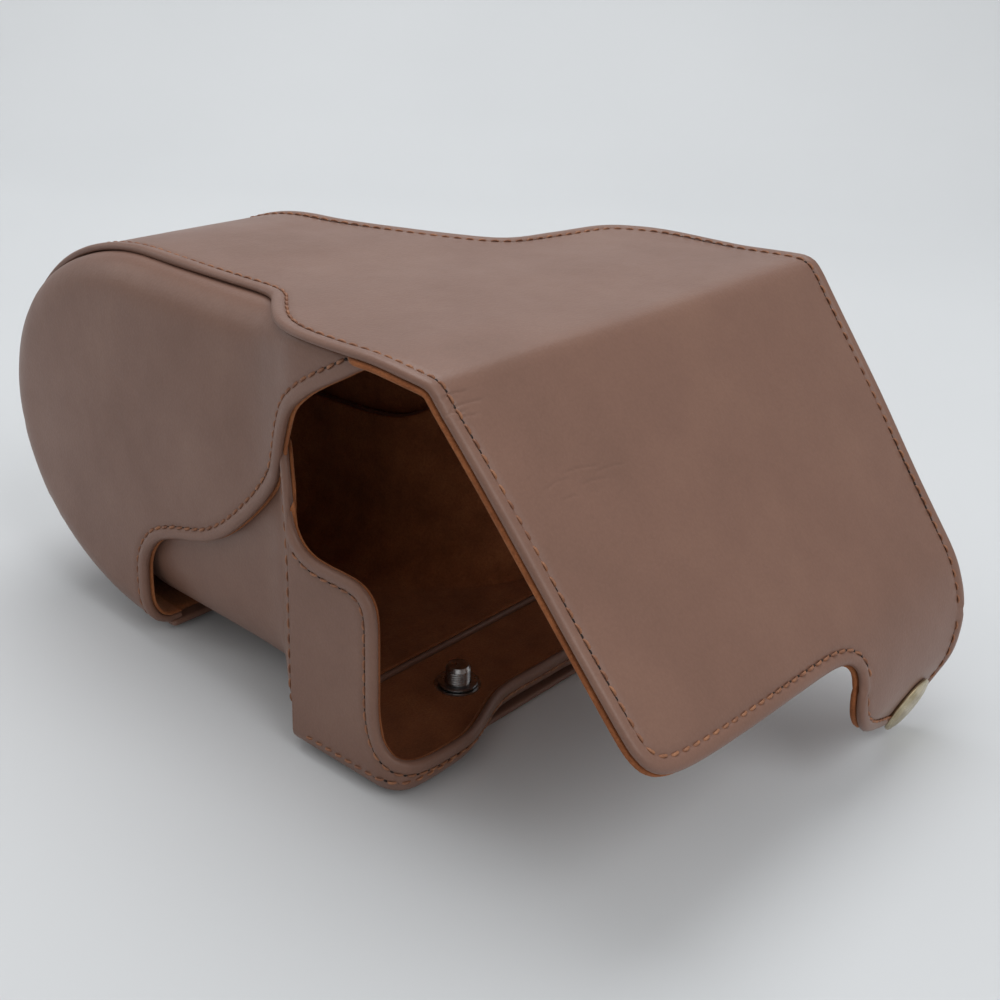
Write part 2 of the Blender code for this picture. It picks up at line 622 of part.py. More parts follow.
def make_tripod_screw(screw):
    """The captive screw that holds the camera down, its bush and its retaining clip."""
    place = (*SCREW_PLACE, 0)
    turned("tripod_bush", [(BUSH_INNER, 0.1), (BUSH_OUTER, 0.1), (BUSH_OUTER, 3.9),
           (BUSH_INNER, 3.9)], place, (0, 0, 1), "steel", None)
    for node in ("base_panel", "base_lining"):
        drill(node, place, (0, 0, 1), BUSH_OUTER + GAP, None)
    turned("tripod_screw", [(0, SCREW_HEAD_BOTTOM_Z), (SCREW_HEAD_RADIUS - 0.5, SCREW_HEAD_BOTTOM_Z),
           (SCREW_HEAD_RADIUS, SCREW_HEAD_BOTTOM_Z + 0.5), (SCREW_HEAD_RADIUS, -GAP),
           (SCREW_RADIUS, -GAP), (SCREW_RADIUS, SCREW_TIP_Z - 0.6), (SCREW_RADIUS - 0.6, SCREW_TIP_Z),
           (0, SCREW_TIP_Z)], place, (0, 0, 1), "steel", screw)
    slot = bpy.data.meshes.new("coin_slot")
    bm = bmesh.new()
    bmesh.ops.create_cube(bm, size=1)
    bm.transform(Matrix.Translation((*SCREW_PLACE, SCREW_HEAD_BOTTOM_Z))
                 @ Matrix.Diagonal((12, 1.6, 1.6, 1)))
    bm.to_mesh(slot)
    bm.free()
    cutter = add_object("coin_slot", slot, "steel", screw)
    cutter.hide_render = True
    cutter.display_type = "WIRE"
    cut = bpy.data.objects["tripod_screw"].modifiers.new("slot", "BOOLEAN")
    cut.operation = "DIFFERENCE"
    cut.solver = "EXACT"
    cut.object = cutter
    turned("screw_clip", [(SCREW_RADIUS + GAP, 4.2), (CLIP_OUTER, 4.2), (CLIP_OUTER, 4.8),
           (SCREW_RADIUS + GAP, 4.8)], place, (0, 0, 1), "steel", screw)


def main():
    clear_scene()
    cover = body_origin("cover", STRAP_FOLD_Y, STRAP_FOLD_Z)
    flap = body_origin("flap", *CREASE_AXIS)
    tab = body_origin("tab", *TAB_AXIS)
    screw = body_origin("tripod_screw", SCREW_PLACE[1], 0, SCREW_PLACE[0])
    make_top(cover)
    make_nose_band(cover)
    side_shell("left_shell", NEAR_SIDE, NEAR_FREE_EDGE, 1, cover)
    side_shell("right_shell", FAR_SIDE, FAR_FREE_EDGE, -1, cover)
    make_flap(flap)
    make_tab(tab)
    make_sole()
    make_base()
    make_rim()
    make_front()
    make_front_strap()
    make_rear_stud()
    make_tripod_screw(screw)


main()
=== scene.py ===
"""The leather ever ready case, with its rolled and stitched edges, suede lining and brass snaps.

The numbers are in millimetres. X counts from the middle of the body's width, Y from the camera's
front face and Z from the underside of the base panel, as in the CAD.
"""

from math import cos, pi, radians, sin

import bpy
import numpy as np
from mathutils import Matrix, Vector
from mathutils.geometry import delaunay_2d_cdt


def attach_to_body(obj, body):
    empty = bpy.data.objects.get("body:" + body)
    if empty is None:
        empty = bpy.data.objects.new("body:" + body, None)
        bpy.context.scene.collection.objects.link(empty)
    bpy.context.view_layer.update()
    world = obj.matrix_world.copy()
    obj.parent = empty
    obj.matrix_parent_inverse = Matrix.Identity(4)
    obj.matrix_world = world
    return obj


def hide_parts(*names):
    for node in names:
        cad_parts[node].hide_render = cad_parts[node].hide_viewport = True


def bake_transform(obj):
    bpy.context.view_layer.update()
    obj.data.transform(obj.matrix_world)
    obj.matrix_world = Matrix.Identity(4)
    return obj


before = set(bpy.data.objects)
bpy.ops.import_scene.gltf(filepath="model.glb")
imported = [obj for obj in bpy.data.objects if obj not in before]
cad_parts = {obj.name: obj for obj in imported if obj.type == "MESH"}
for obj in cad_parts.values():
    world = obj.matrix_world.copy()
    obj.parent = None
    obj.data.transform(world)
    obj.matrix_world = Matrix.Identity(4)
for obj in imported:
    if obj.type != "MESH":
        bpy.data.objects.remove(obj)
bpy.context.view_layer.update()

MM = 0.001
ORIGIN = np.array((0.0, 12.0, -1.8))

# ------------------------------------------------------------------ the case's shape
TOP_Z = 98.0
CREASE = (43.98, 98.0)
NOSE_Y = -61.0
NOSE_LENGTH = 62.0
NOSE_FLOOR_Z = 0.2
STRIP_END_Y = -59.4
NOSE_RISE = (TOP_Z - NOSE_FLOOR_Z) / 2
NOSE_MID_Z = NOSE_FLOOR_Z + NOSE_RISE
NEAR_TOP_EDGE = [
    (62.6, 44), (63.8, 30), (64.2, 16), (63.8, 6), (62.2, -0.4), (59.4, -5.6),
    (55, -11.2), (50.9, -16.2), (49.5, -21.4), (49.5, -32), (49.8, -48), (49.5, -61),
    (48.6, -90), (47.5, -124),
]
FAR_TOP_EDGE = [
    (-62.6, 44), (-65.4, 31), (-65.8, 18), (-64.6, 6), (-61, -2.6), (-53.6, -9.6),
    (-38, -13.2), (-24.5, -17), (-17, -28), (-11.6, -42), (-7.4, -56), (-6, -66),
    (-5.6, -90), (-4.6, -124),
]
NEAR_SIDE = [
    (62.2, 30), (62.8, 17), (62.8, 10), (62.4, 2), (60.4, -4), (57.8, -10), (56.6, -17),
    (56.4, -30), (56.2, -61), (55.6, -90), (54.4, -123),
]
FAR_SIDE = [
    (-63.4, 30), (-63.8, 17), (-63.6, 10), (-62.8, 4), (-59.4, -4), (-52.4, -9), (-38, -12.2),
    (-26.6, -15.6), (-20.6, -23), (-16, -36), (-13.6, -50), (-13, -61), (-12.6, -90),
    (-11.6, -123),
]
NEAR_FREE_EDGE = [
    (-60.2, 3.4), (-60.6, 8), (-61, 15), (-60, 22), (-55.6, 28), (-49, 31.3), (-41, 33.6),
    (-34, 36), (-27, 40.4), (-20, 46.6), (-13, 54), (-8, 60.6), (-5.6, 66), (-2.6, 73),
    (1.1, 79.2), (6.4, 84), (11.4, 87.4), (16.5, 90.3), (21, 93), (25, 95.2),
]
FAR_FREE_EDGE = [
    (-60.2, 3.4), (-60.6, 8), (-61, 15), (-60, 22), (-55.6, 28), (-49, 31.3), (-41, 34),
    (-33, 38), (-25, 43), (-18, 48.6), (-12, 54), (-8.6, 59), (-5.6, 66), (-2, 73),
    (1.5, 78), (6.4, 84), (11.4, 87.4), (16.5, 90.3), (21, 93), (25, 95.2),
]
SIDE_TOP_Z = 96.6
EDGE_TUCK = 0.8
SIDE_TUCKED = 2.4  # how far the sides reach in under the strip
BODY_EDGE_ROUND = 2.0
NOSE_EDGE_ROUND = 9.0

LEAN = radians(40)
WALL = 2.5
FLAP_STRAIGHT = 74.6
FLAP_SET_IN = 0.58
FLAP_CURL_RADIUS = 35.0
TWIST = 4.4  # the near side of the crease hangs this much, and the far side stands as proud
TWIST_LEAN = LEAN + 0.35
TWIST_FROM = -20.0  # it grows from here to just past the crease
TWIST_TO = 84.0  # and has faded out here
TAB_FOLD = 100.4
TAB_ANGLE = radians(-20)
TAB_LENGTH = 17.7
TAB_START = 92.0
TAB_X = -41.0
CAP_ALONG = 8.2
# The cut of the flap and its tab, as (X, distance from the crease), from the near side round.
FLAP_EDGE = [
    (62.4, 1), (62.1, 8), (61.9, 20), (61.9, 40), (61.9, 60), (61.8, 70), (61.4, 74), (59.8, 77.4),
    (56.4, 79.8), (51, 81.1), (42, 81.9), (27.5, 82.5), (12.6, 82.9), (0.6, 83.3), (-5, 84),
    (-8.9, 85.4), (-11, 87.8), (-11.2, 90.4), (-10.2, 93.4), (-9.8, 96.6), (-10.9, 100),
    (-14, 103.6), (-19, 107), (-26, 110.6), (-33, 113.8), (-39, 116), (-43, 117), (-46.6, 116.4),
    (-49.6, 114), (-53, 109.6), (-56.2, 104.4), (-59.2, 98.6), (-61.6, 92.6), (-62.9, 84),
    (-63.2, 72), (-63.2, 46), (-63, 20), (-62.8, 8), (-62.8, 1),
]
CREASE_WRINKLES = [
    [(61.8, 3.4), (58.6, 2.7), (54, 3.2)], [(61.4, 5.8), (57.6, 5.1), (51.5, 5.6)],
    [(64.4, 6.6), (60.4, 6.1), (56.6, 6.8)], [(61, 8), (58, 7.4), (54.4, 7.9)],
    [(49.5, 25.4), (46, 24.8), (42.6, 25.2)], [(43.6, 23.8), (38.4, 24.2), (33.8, 25.2)],
    [(41.2, 27.2), (37, 27.3), (32.8, 28.2)], [(35.8, 26), (31, 26.2), (26.6, 27)],
    [(47.6, 28.6), (44.6, 28.4), (41.8, 29)],
]

RIM_PLAN = [
    (61.8, -1.6), (61.8, 0.4), (61.8, 1.8), (61.8, 4), (61.8, 9), (61.8, 20), (61.8, 24), (61.8, 26),
    (61.6, 28), (60.4, 31), (57.6, 33.2), (53, 34),
    (46, 34), (39, 33.4), (32, 31), (24, 27.6), (17, 26), (4, 26), (-8, 26.2), (-17, 28),
    (-25, 31.4), (-32, 33.6), (-40, 34), (-53, 34),
    (-57.6, 33.2), (-60.4, 31), (-61.6, 28), (-61.8, 26), (-61.8, 24),
    (-61.8, 20), (-61.8, 9), (-61.8, 4), (-61.8, 1.8), (-61.8, 0.4), (-61.8, -1.6),
]
LINING_BEYOND = 2.0  # the walls' lining runs on this far, in behind the front
# The rim's height along the plan, as (distance from the front seam, height).
SIDE_RIM = [
    (0, 57), (1, 53.6), (3, 50.6), (6, 48.9), (10, 48.3), (15, 48.2), (19.5, 47.9), (22.6, 46.6),
    (24.8, 44), (25.8, 40), (26, 34), (26.1, 26), (26.2, 19), (27, 14.4), (28.8, 11.2),
    (31.6, 9.2), (35.6, 8.1), (41, 7.4),
]
LIP_Z = 6.6
LOWER_SEAM_Z = 3.6
BASE_ROUND = 3.4
FOOT_TURNED_IN = 2.5
BASE_FRONT_Y = -4.6
BASE_INSET = 4.4
FLOOR_INSET = 2.2
FLOOR_Z = 3.5
BASE_Z = 0.35  # the walls' turned-in foot laps over the base's edge
SCREW_PLACE = (22.0, 14.0)
SOLE_X = (-15.0, 55.0)
SOLE_Y = (1.5, 26.5)
SOLE_CORNER = 4.0
SOLE_Z = -1.35  # the bead stands as proud as the plate's own underside, at -1.8
SOLE_HOLE = 8.3

FRONT_NEAR_X = [
    (1.2, 59.1), (0.4, 59.3), (-0.8, 60.6), (-2.4, 60.1), (-5, 58.5), (-8, 56.4), (-12, 54.6),
    (-16, 53.8), (-20, 53.5), (-28, 53), (-40, 52.7), (-56, 52.4), (-66, 52.3),
]
FRONT_FAR_X = [
    (1.2, -59.1), (0.4, -59.1), (-0.6, -58.8), (-2.4, -56), (-4, -52), (-6.4, -45), (-8.4, -37),
    (-11.4, -26), (-16, -20), (-24, -16), (-40, -11), (-56, -9.4), (-66, -9.2),
]
FRONT_RIM_Z = [(1.2, 72), (-0.6, 72), (-8, 71), (-16, 66), (-28, 55), (-40, 49), (-66, 48)]
SCOOP_FLOOR_Z = 3.1
SCOOP_ROUND = 20.0
SCOOP_END_Y = -66.0
SCOOP_END_ROUND = 20.0
FRONT_COLUMNS = 181
FRONT_WIDEST = 16  # the row of the grid that its width is read from
FRONT_CORNER = [
    (0, 24), (0.3, 19.6), (0.9, 15.6), (1.8, 11.4), (2.9, 8.2), (4.2, 5.8), (6.4, 3), (9.6, 0.9),
    (14, 0),
]

STRAP_X = (10.0, 34.0)
STRAP_REAR_Y = -34.0
STRAP_FRONT_Y = -62.2
STRAP_TIP = 8.0
STRAP_Z = 0.8

# ------------------------------------------------------------------ leather work
LEATHER = 1.6
SUEDE = 0.8
SEAM_IN = 3.1  # from the edge to the stitches
RINGS = (0, 0.25, 0.6, 1.05, 1.6, 2.15, 2.6, 2.85, 3.1, 3.35, 3.8, 5.2)
LINING_RINGS = (0, 0.3, 1.6)
BEAD_RISE = 0.42
BEAD_MIDDLE = 1.5
BEAD_HALF = 1.75
GROOVE = 0.3
GROOVE_HALF = 0.4
FLAP_LEATHER = 1.35  # the strip is thinner leather with a thicker lining than the rest
FLAP_LINING = 1.3
FLAP_LINING_DEPTH = 1.45
STRIP_LINING_IN = 3.4  # the strip's lining stops short of the sides
FLAP_LINING_FROM = -27.0  # from here on, ahead of the crease, it runs out to the edge
SUEDE_SHOWS = -0.25  # and a little past it
NORMAL_REACH = 0.25  # how far apart a surface is read to find the way it faces
MIN_ALTITUDE = 0.03  # a flatter triangle is a sliver of the outline
STITCH_PITCH = 3.1
STITCH_LENGTH = 2.3
SEAM_START = 0.4
# One stitch's seven sections: where they lie along it, how high and how thick they are.
STITCH_RUN = np.array([0, 0.12, 0.32, 0.5, 0.68, 0.88, 1])
STITCH_RISE = np.array([-0.45, -0.02, 0.14, 0.18, 0.14, -0.02, -0.45])
STITCH_WIDTH = np.array([0.5, 0.85, 1, 0.96, 1, 0.85, 0.5])
STITCH_SLANT = 0.16
THREAD = 0.34
HOLE_AHEAD = 0.3
HOLE_SUNK = 0.2
HOLE_RADII = (0.38, 0.34)
HOLE_DEPTH = 0.5


# ------------------------------------------------------------------ small tools


def metres(points):
    return (np.asarray(points, float) - ORIGIN) * MM


def run_of(points):
    """How far along the polyline each of its points is."""
    return np.concatenate([[0], np.cumsum(np.linalg.norm(np.diff(points, axis=0), axis=1))])


def spaced(points, step):
    """The same polyline with points about a step apart."""
    pts = np.asarray(points, float)
    run = run_of(pts)
    want = np.linspace(0, run[-1], max(2, int(round(run[-1] / step)) + 1))
    return np.column_stack([np.interp(want, run, pts[:, i]) for i in range(pts.shape[1])])


def curve(points, step=0.5):
    """A Catmull-Rom curve through the points, evenly spaced."""
    pts = np.array(points, float)
    ends = np.vstack([2 * pts[0] - pts[1], pts, 2 * pts[-1] - pts[-2]])
    dense = []
    for p0, p1, p2, p3 in zip(ends, ends[1:], ends[2:], ends[3:]):
        t = np.linspace(0, 1, 12, endpoint=False)[:, None]
        dense.append(
            0.5 * (2 * p1 + (p2 - p0) * t + (2 * p0 - 5 * p1 + 4 * p2 - p3) * t**2
                   + (3 * p1 - p0 - 3 * p2 + p3) * t**3)
        )
    return spaced(np.vstack(dense + [pts[-1:]]), step)


def reader(points, key=1, value=0):
    """A function that reads value at key along a smooth curve through the points."""
    dense = curve(points, 0.4)
    order = np.argsort(dense[:, key])
    return lambda at: np.interp(at, dense[order, key], dense[order, value])


def arc(middle, radius, start, end, step=0.6):
    count = max(3, int(abs(radians(end - start)) * radius / step))
    angles = np.radians(np.linspace(start, end, count))
    return np.column_stack([middle[0] + radius * np.cos(angles), middle[1] + radius * np.sin(angles)])


def distance_to(points, starts, ends):
    """How far each point is from the nearest of the segments."""
    found = np.full(len(points), 1e9)
    for first in range(0, len(starts), 400):
        a, b = starts[first:first + 400], ends[first:first + 400]
        d = b - a
        t = ((points[:, None] - a) * d).sum(2) / np.maximum((d * d).sum(1), 1e-12)
        near = a + np.clip(t, 0, 1)[..., None] * d
        found = np.minimum(found, np.linalg.norm(points[:, None] - near, axis=2).min(1))
    return found


def inside(points, ring):
    """Whether each point is inside the closed ring."""
    x, y = points[:, 0][:, None], points[:, 1][:, None]
    x1, y1 = ring[:, 0], ring[:, 1]
    x2, y2 = np.roll(x1, -1), np.roll(y1, -1)
    crosses = ((y1 > y) != (y2 > y)) & (x < (x2 - x1) * (y - y1) / (y2 - y1 + 1e-12) + x1)
    return crosses.sum(1) % 2 == 1


def normals_of(place, uv):
    """Where each flat point is on the surface, and the way the surface faces there."""
    du, dv = np.array([NORMAL_REACH, 0]), np.array([0, NORMAL_REACH])
    across = place(*(uv + du).T) - place(*(uv - du).T)
    up = place(*(uv + dv).T) - place(*(uv - dv).T)
    normal = np.cross(across, up)
    return place(*uv.T), normal / np.maximum(np.linalg.norm(normal, axis=1, keepdims=True), 1e-9)


def attach(obj, body):
    """Rides on one body; given a pair of bodies, it is only baked in place and rides on neither."""
    if isinstance(body, str):
        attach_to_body(obj, body)
    else:
        first, second, start, end = body
        tuple(metres(start))
        tuple(metres(end))
        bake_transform(obj)
    return obj


def mesh_object(name, points, faces, materials, body, smooth=60):
    mesh = bpy.data.meshes.new(name)
    mesh.from_pydata([tuple(p) for p in metres(points)], [], faces)
    mesh.shade_smooth()
    mesh.set_sharp_from_angle(angle=radians(smooth))
    for made in materials:
        mesh.materials.append(made)
    obj = bpy.data.objects.new(name, mesh)
    bpy.context.collection.objects.link(obj)
    return attach(obj, body)


# ------------------------------------------------------------------ sewn skins


def edge_height(d):
    """The rolled edge's rise and the sunk seam, at d from a free edge."""
    rolled = BEAD_RISE * np.maximum(0, 1 - ((d - BEAD_MIDDLE) / BEAD_HALF) ** 2)
    seam = GROOVE * np.exp(-(((d - SEAM_IN) / GROOVE_HALF) ** 2))
    return rolled - seam


def edge_round(d, thickness):
    """How much each face curves in towards the middle of the leather, at d from a free edge."""
    r = thickness / 2
    short = np.clip(r - d, 0, 0.93 * r)
    return r - np.sqrt(r * r - short * short)


def ring_points(outline, distance):
    """The outline moved in by a distance, with the points that crowd a tight corner left out."""
    distance = np.broadcast_to(distance, len(outline))
    along = np.roll(outline, -1, 0) - np.roll(outline, 1, 0)
    along /= np.linalg.norm(along, axis=1, keepdims=True)
    moved = outline + np.column_stack([-along[:, 1], along[:, 0]]) * distance[:, None]
    true = distance_to(moved, outline, np.roll(outline, -1, 0))
    kept = (true > distance * 0.94 - 1e-6) & (inside(moved, outline) | (distance <= 0))
    return moved, kept


def lining_of(outline, free, distance):
    """The cut of a lining: the leather's own cut, moved in by a distance."""
    moved, kept = ring_points(outline, distance)
    return moved[kept], free[kept]


def skin(name, outline, free, place, kind, body, depth=0.0, thickness=LEATHER, step=2.6,
         rings=RINGS, extra=None, relief=None):
    """A skin of leather or suede: a flat cut laid on a surface, with its free edges rolled."""
    parts = []
    for distance in rings:
        moved, kept = ring_points(outline, distance)
        parts.append(moved[kept])
    if extra is not None:
        parts.append(extra)
    low, high = outline.min(0), outline.max(0)
    grid = []
    for i, v in enumerate(np.arange(low[1], high[1], step * 0.866)):
        row = np.arange(low[0] + (i % 2) * step / 2, high[0], step)
        grid.append(np.column_stack([row, np.full(len(row), v)]))
    grid = np.vstack(grid)
    grid = grid[inside(grid, outline)]
    clear = rings[-1] + step * 0.55
    grid = grid[distance_to(grid, outline, np.roll(outline, -1, 0)) > clear]
    if extra is not None:
        spread = np.array([np.abs(grid - p).sum(1) for p in extra[::3]]).min(0)
        grid = grid[spread > 1.4]
    parts.append(grid)
    flat = np.vstack(parts)
    count = len(outline)
    edges = [(i, (i + 1) % count) for i in range(count)]
    points, _, triangles, *_ = delaunay_2d_cdt([Vector(p) for p in flat], edges, [], 1, 1e-5, False)
    uv = np.array([tuple(p) for p in points])
    corners = np.array(triangles)
    corners = corners[inside(uv[corners].mean(1), outline)]
    spread = uv[corners]
    sides = np.roll(spread, -1, 1) - spread
    longest = np.linalg.norm(sides, axis=2).max(1)
    area = np.abs(sides[:, 0, 0] * sides[:, 1, 1] - sides[:, 0, 1] * sides[:, 1, 0])
    sound = (area > MIN_ALTITUDE * longest) | (longest < 2.5)
    corners = corners[sound & (longest < 2.6 * max(step, 3))]
    ends = np.roll(outline, -1, 0)
    d = distance_to(uv, outline[free], ends[free]) if free.any() else np.full(len(uv), 99.0)
    at, normal = normals_of(place, uv)
    if kind == "suede":
        lift = -edge_round(d, thickness)
    else:
        lift = edge_height(d) - edge_round(d, thickness)
    if relief is not None:
        lift = lift + relief(uv)
    outer = at + normal * (lift - depth)[:, None]
    inner = at - normal * (depth + thickness - edge_round(d, thickness))[:, None]
    total = len(uv)
    used = {}
    faces = []
    for a, b, c in corners.tolist():
        (ax, ay), (bx, by), (cx, cy) = uv[a], uv[b], uv[c]
        if (bx - ax) * (cy - ay) - (by - ay) * (cx - ax) < 0:
            a, b, c = a, c, b
        faces.append((a, b, c))
        faces.append((c + total, b + total, a + total))
        for pair in ((a, b), (b, c), (c, a)):
            used[pair] = True
    for a, b in used:
        if (b, a) not in used:
            faces.append((b, a, a + total, b + total))
    return mesh_object(name, np.vstack([outer, inner]), faces, [MATERIALS[kind]], body)


def seam_runs(outline, free):
    """The lines that the stitches follow, in the flat."""
    moved, _ = ring_points(outline, SEAM_IN)
    true = distance_to(moved, outline[free], np.roll(outline, -1, 0)[free])
    kept = (true > SEAM_IN * 0.94) & inside(moved, outline) & free
    start = int(np.argmin(free)) if not free.all() else 0
    order = [(start + i) % len(outline) for i in range(len(outline))]
    runs, run = [], []
    for i in order:
        if not free[i]:
            if len(run) > 3:
                runs.append(np.array(run))
            run = []
        elif kept[i]:
            run.append(moved[i])
    if len(run) > 3:
        runs.append(np.array(run + ([run[0]] if free.all() else [])))
    return runs


def stitches(name, runs, place, body):
    """Waxed thread laid stitch by stitch along the seam, with its needle holes as shallow dimples
    coloured near-black as painted shade for the dark inside of each hole.
    """
    points, faces, holes = [], [], []
    for run in runs:
        length = run_of(run)
        total = length[-1]
        count = int((total - 2 * SEAM_START) / STITCH_PITCH)
        for i in range(count):
            first = SEAM_START + i * (total - 2 * SEAM_START) / count
            want = first + STITCH_RUN * STITCH_LENGTH
            uv = np.column_stack([np.interp(want, length, run[:, j]) for j in (0, 1)])
            at, normal = normals_of(place, uv)
            along = at[-1] - at[0]
            along /= max(np.linalg.norm(along), 1e-9)
            side = np.cross(normal, along)
            side /= np.linalg.norm(side, axis=1, keepdims=True)
            slant = np.linspace(-STITCH_SLANT, STITCH_SLANT, len(STITCH_RUN))[:, None]
            middle = at + normal * STITCH_RISE[:, None] + side * slant
            base = len(points)
            for m, n, s, w in zip(middle, normal, side, STITCH_WIDTH * THREAD):
                for k in range(6):
                    angle = k * pi / 3
                    points.append(m + n * w * 0.8 * sin(angle) + s * w * cos(angle))
            for r in range(6):
                for k in range(6):
                    a, b = base + r * 6 + k, base + r * 6 + (k + 1) % 6
                    faces.append((a, b, b + 6, a + 6))
            faces.append(tuple(base + k for k in reversed(range(6))))
            faces.append(tuple(base + 36 + k for k in range(6)))
            for end, way in ((0, -HOLE_AHEAD), (-1, HOLE_AHEAD)):
                base = len(points)
                mouth = at[end] + along * way - normal[end] * HOLE_SUNK
                long, wide = along * HOLE_RADII[0], side[end] * HOLE_RADII[1]
                for k in range(6):
                    angle = k * pi / 3
                    points.append(mouth + long * cos(angle) + wide * sin(angle))
                points.append(mouth - normal[end] * HOLE_DEPTH)
                holes.append(len(faces))
                faces.append(tuple(base + k for k in range(6)))
                for k in range(6):
                    faces.append((base + (k + 1) % 6, base + k, base + 6))
    # the needle holes take the near-black painted shade material
    materials = [MATERIALS["thread"], MATERIALS["hole"]]
    obj = mesh_object(name, np.array(points), faces, materials, body, 180)
    for first in holes:
        for face in obj.data.polygons[first:first + 7]:
            face.material_index = 1
    return obj


# ------------------------------------------------------------------ materials


def shader_of(name):
    made = bpy.data.materials.new(name)
    made.use_nodes = True
    return made, made.node_tree.nodes, made.node_tree.links, made.node_tree.nodes["Principled BSDF"]


def noise(nodes, links, where, scale, detail=3.0, rough=0.55):
    made = nodes.new("ShaderNodeTexNoise")
    made.inputs["Scale"].default_value = scale
    made.inputs["Detail"].default_value = detail
    made.inputs["Roughness"].default_value = rough
    links.new(where.outputs["Object"], made.inputs["Vector"])
    return made


def ramp(nodes, links, value, stops):
    made = nodes.new("ShaderNodeValToRGB")
    made.color_ramp.elements[0].position = stops[0][0]
    made.color_ramp.elements[0].color = (*stops[0][1], 1)
    made.color_ramp.elements[1].position = stops[1][0]
    made.color_ramp.elements[1].color = (*stops[1][1], 1)
    for place, colour in stops[2:]:
        made.color_ramp.elements.new(place).color = (*colour, 1)
    links.new(value, made.inputs["Fac"])
    return made


def bump(nodes, links, height, strength, distance, before=None):
    made = nodes.new("ShaderNodeBump")
    made.inputs["Strength"].default_value = strength
    made.inputs["Distance"].default_value = distance
    links.new(height, made.inputs["Height"])
    if before:
        links.new(before.outputs["Normal"], made.inputs["Normal"])
    return made


def leather_material():
    made, nodes, links, shader = shader_of("taupe_leather")
    where = nodes.new("ShaderNodeTexCoord")
    clouds = noise(nodes, links, where, 34, 5.0, 0.6)
    colour = ramp(nodes, links, clouds.outputs["Fac"], [
        (0.3, (0.168, 0.085, 0.058)), (0.7, (0.204, 0.107, 0.074)), (0.5, (0.186, 0.095, 0.066)),
    ])
    grain = nodes.new("ShaderNodeTexVoronoi")
    grain.feature = "SMOOTH_F1"
    grain.inputs["Scale"].default_value = 1500
    grain.inputs["Smoothness"].default_value = 0.6
    links.new(where.outputs["Object"], grain.inputs["Vector"])
    pores = noise(nodes, links, where, 2600, 2.0)
    creases = noise(nodes, links, where, 160, 4.0, 0.5)
    speck = nodes.new("ShaderNodeMix")
    speck.data_type = "RGBA"
    speck.blend_type = "MULTIPLY"
    speck.inputs["Factor"].default_value = 0.12
    links.new(colour.outputs["Color"], speck.inputs["A"])
    shade = ramp(nodes, links, grain.outputs["Distance"], [
        (0.1, (1, 1, 1)), (0.8, (0.45, 0.4, 0.38)),
    ])
    links.new(shade.outputs["Color"], speck.inputs["B"])
    links.new(speck.outputs["Result"], shader.inputs["Base Color"])
    worn = ramp(nodes, links, clouds.outputs["Fac"], [
        (0.35, (0.5, 0.5, 0.5)), (0.7, (0.41, 0.41, 0.41)),
    ])
    links.new(worn.outputs["Color"], shader.inputs["Roughness"])
    first = bump(nodes, links, creases.outputs["Fac"], 0.12, 0.0008)
    second = bump(nodes, links, grain.outputs["Distance"], 0.16, 0.0002, first)
    third = bump(nodes, links, pores.outputs["Fac"], 0.14, 0.00012, second)
    links.new(third.outputs["Normal"], shader.inputs["Normal"])
    shader.inputs["Specular IOR Level"].default_value = 0.4
    shader.inputs["Sheen Weight"].default_value = 0.03
    shader.inputs["Sheen Roughness"].default_value = 0.5
    shader.inputs["Sheen Tint"].default_value = (0.9, 0.85, 0.82, 1)
    shader.inputs["Coat Weight"].default_value = 0.06
    shader.inputs["Coat Roughness"].default_value = 0.35
    return made


def suede_material():
    made, nodes, links, shader = shader_of("rust_suede")
    where = nodes.new("ShaderNodeTexCoord")
    nap = noise(nodes, links, where, 1700, 4.0, 0.7)
    clouds = noise(nodes, links, where, 90, 4.0, 0.6)
    colour = ramp(nodes, links, clouds.outputs["Fac"], [
        (0.3, (0.21, 0.068, 0.026)), (0.72, (0.36, 0.13, 0.05)),
    ])
    fleck = nodes.new("ShaderNodeMix")
    fleck.data_type = "RGBA"
    fleck.blend_type = "MULTIPLY"
    fleck.inputs["Factor"].default_value = 0.55
    links.new(colour.outputs["Color"], fleck.inputs["A"])
    dots = ramp(nodes, links, nap.outputs["Fac"], [(0.35, (0.5, 0.45, 0.42)), (0.62, (1, 1, 1))])
    links.new(dots.outputs["Color"], fleck.inputs["B"])
    links.new(fleck.outputs["Result"], shader.inputs["Base Color"])
    rough = bump(nodes, links, nap.outputs["Fac"], 0.6, 0.0003)
    links.new(rough.outputs["Normal"], shader.inputs["Normal"])
    shader.inputs["Roughness"].default_value = 0.95
    shader.inputs["Specular IOR Level"].default_value = 0.15
    shader.inputs["Sheen Weight"].default_value = 0.25
    shader.inputs["Sheen Tint"].default_value = (0.95, 0.55, 0.35, 1)
    return made


def thread_material():
    made, nodes, links, shader = shader_of("waxed_thread")
    where = nodes.new("ShaderNodeTexCoord")
    clouds = noise(nodes, links, where, 420, 2.0)
    colour = ramp(nodes, links, clouds.outputs["Fac"], [
        (0.35, (0.17, 0.064, 0.030)), (0.7, (0.32, 0.136, 0.062)),
    ])
    links.new(colour.outputs["Color"], shader.inputs["Base Color"])
    twist = noise(nodes, links, where, 3200, 1.0)
    rough = bump(nodes, links, twist.outputs["Fac"], 0.5, 0.0002)
    links.new(rough.outputs["Normal"], shader.inputs["Normal"])
    shader.inputs["Roughness"].default_value = 0.55
    return made


def painted_hole_shade_material():
    # Painted shade: the needle holes are coloured near-black to stand in for the shade inside them, not
    # the leather's own colour.
    made, nodes, links, shader = shader_of("stitch_hole_painted_shade")
    where = nodes.new("ShaderNodeTexCoord")
    clouds = noise(nodes, links, where, 900, 2.0)
    colour = ramp(nodes, links, clouds.outputs["Fac"], [
        (0.3, (0.012, 0.006, 0.004)), (0.7, (0.03, 0.015, 0.01)),
    ])
    links.new(colour.outputs["Color"], shader.inputs["Base Color"])
    shader.inputs["Roughness"].default_value = 0.9
    return made


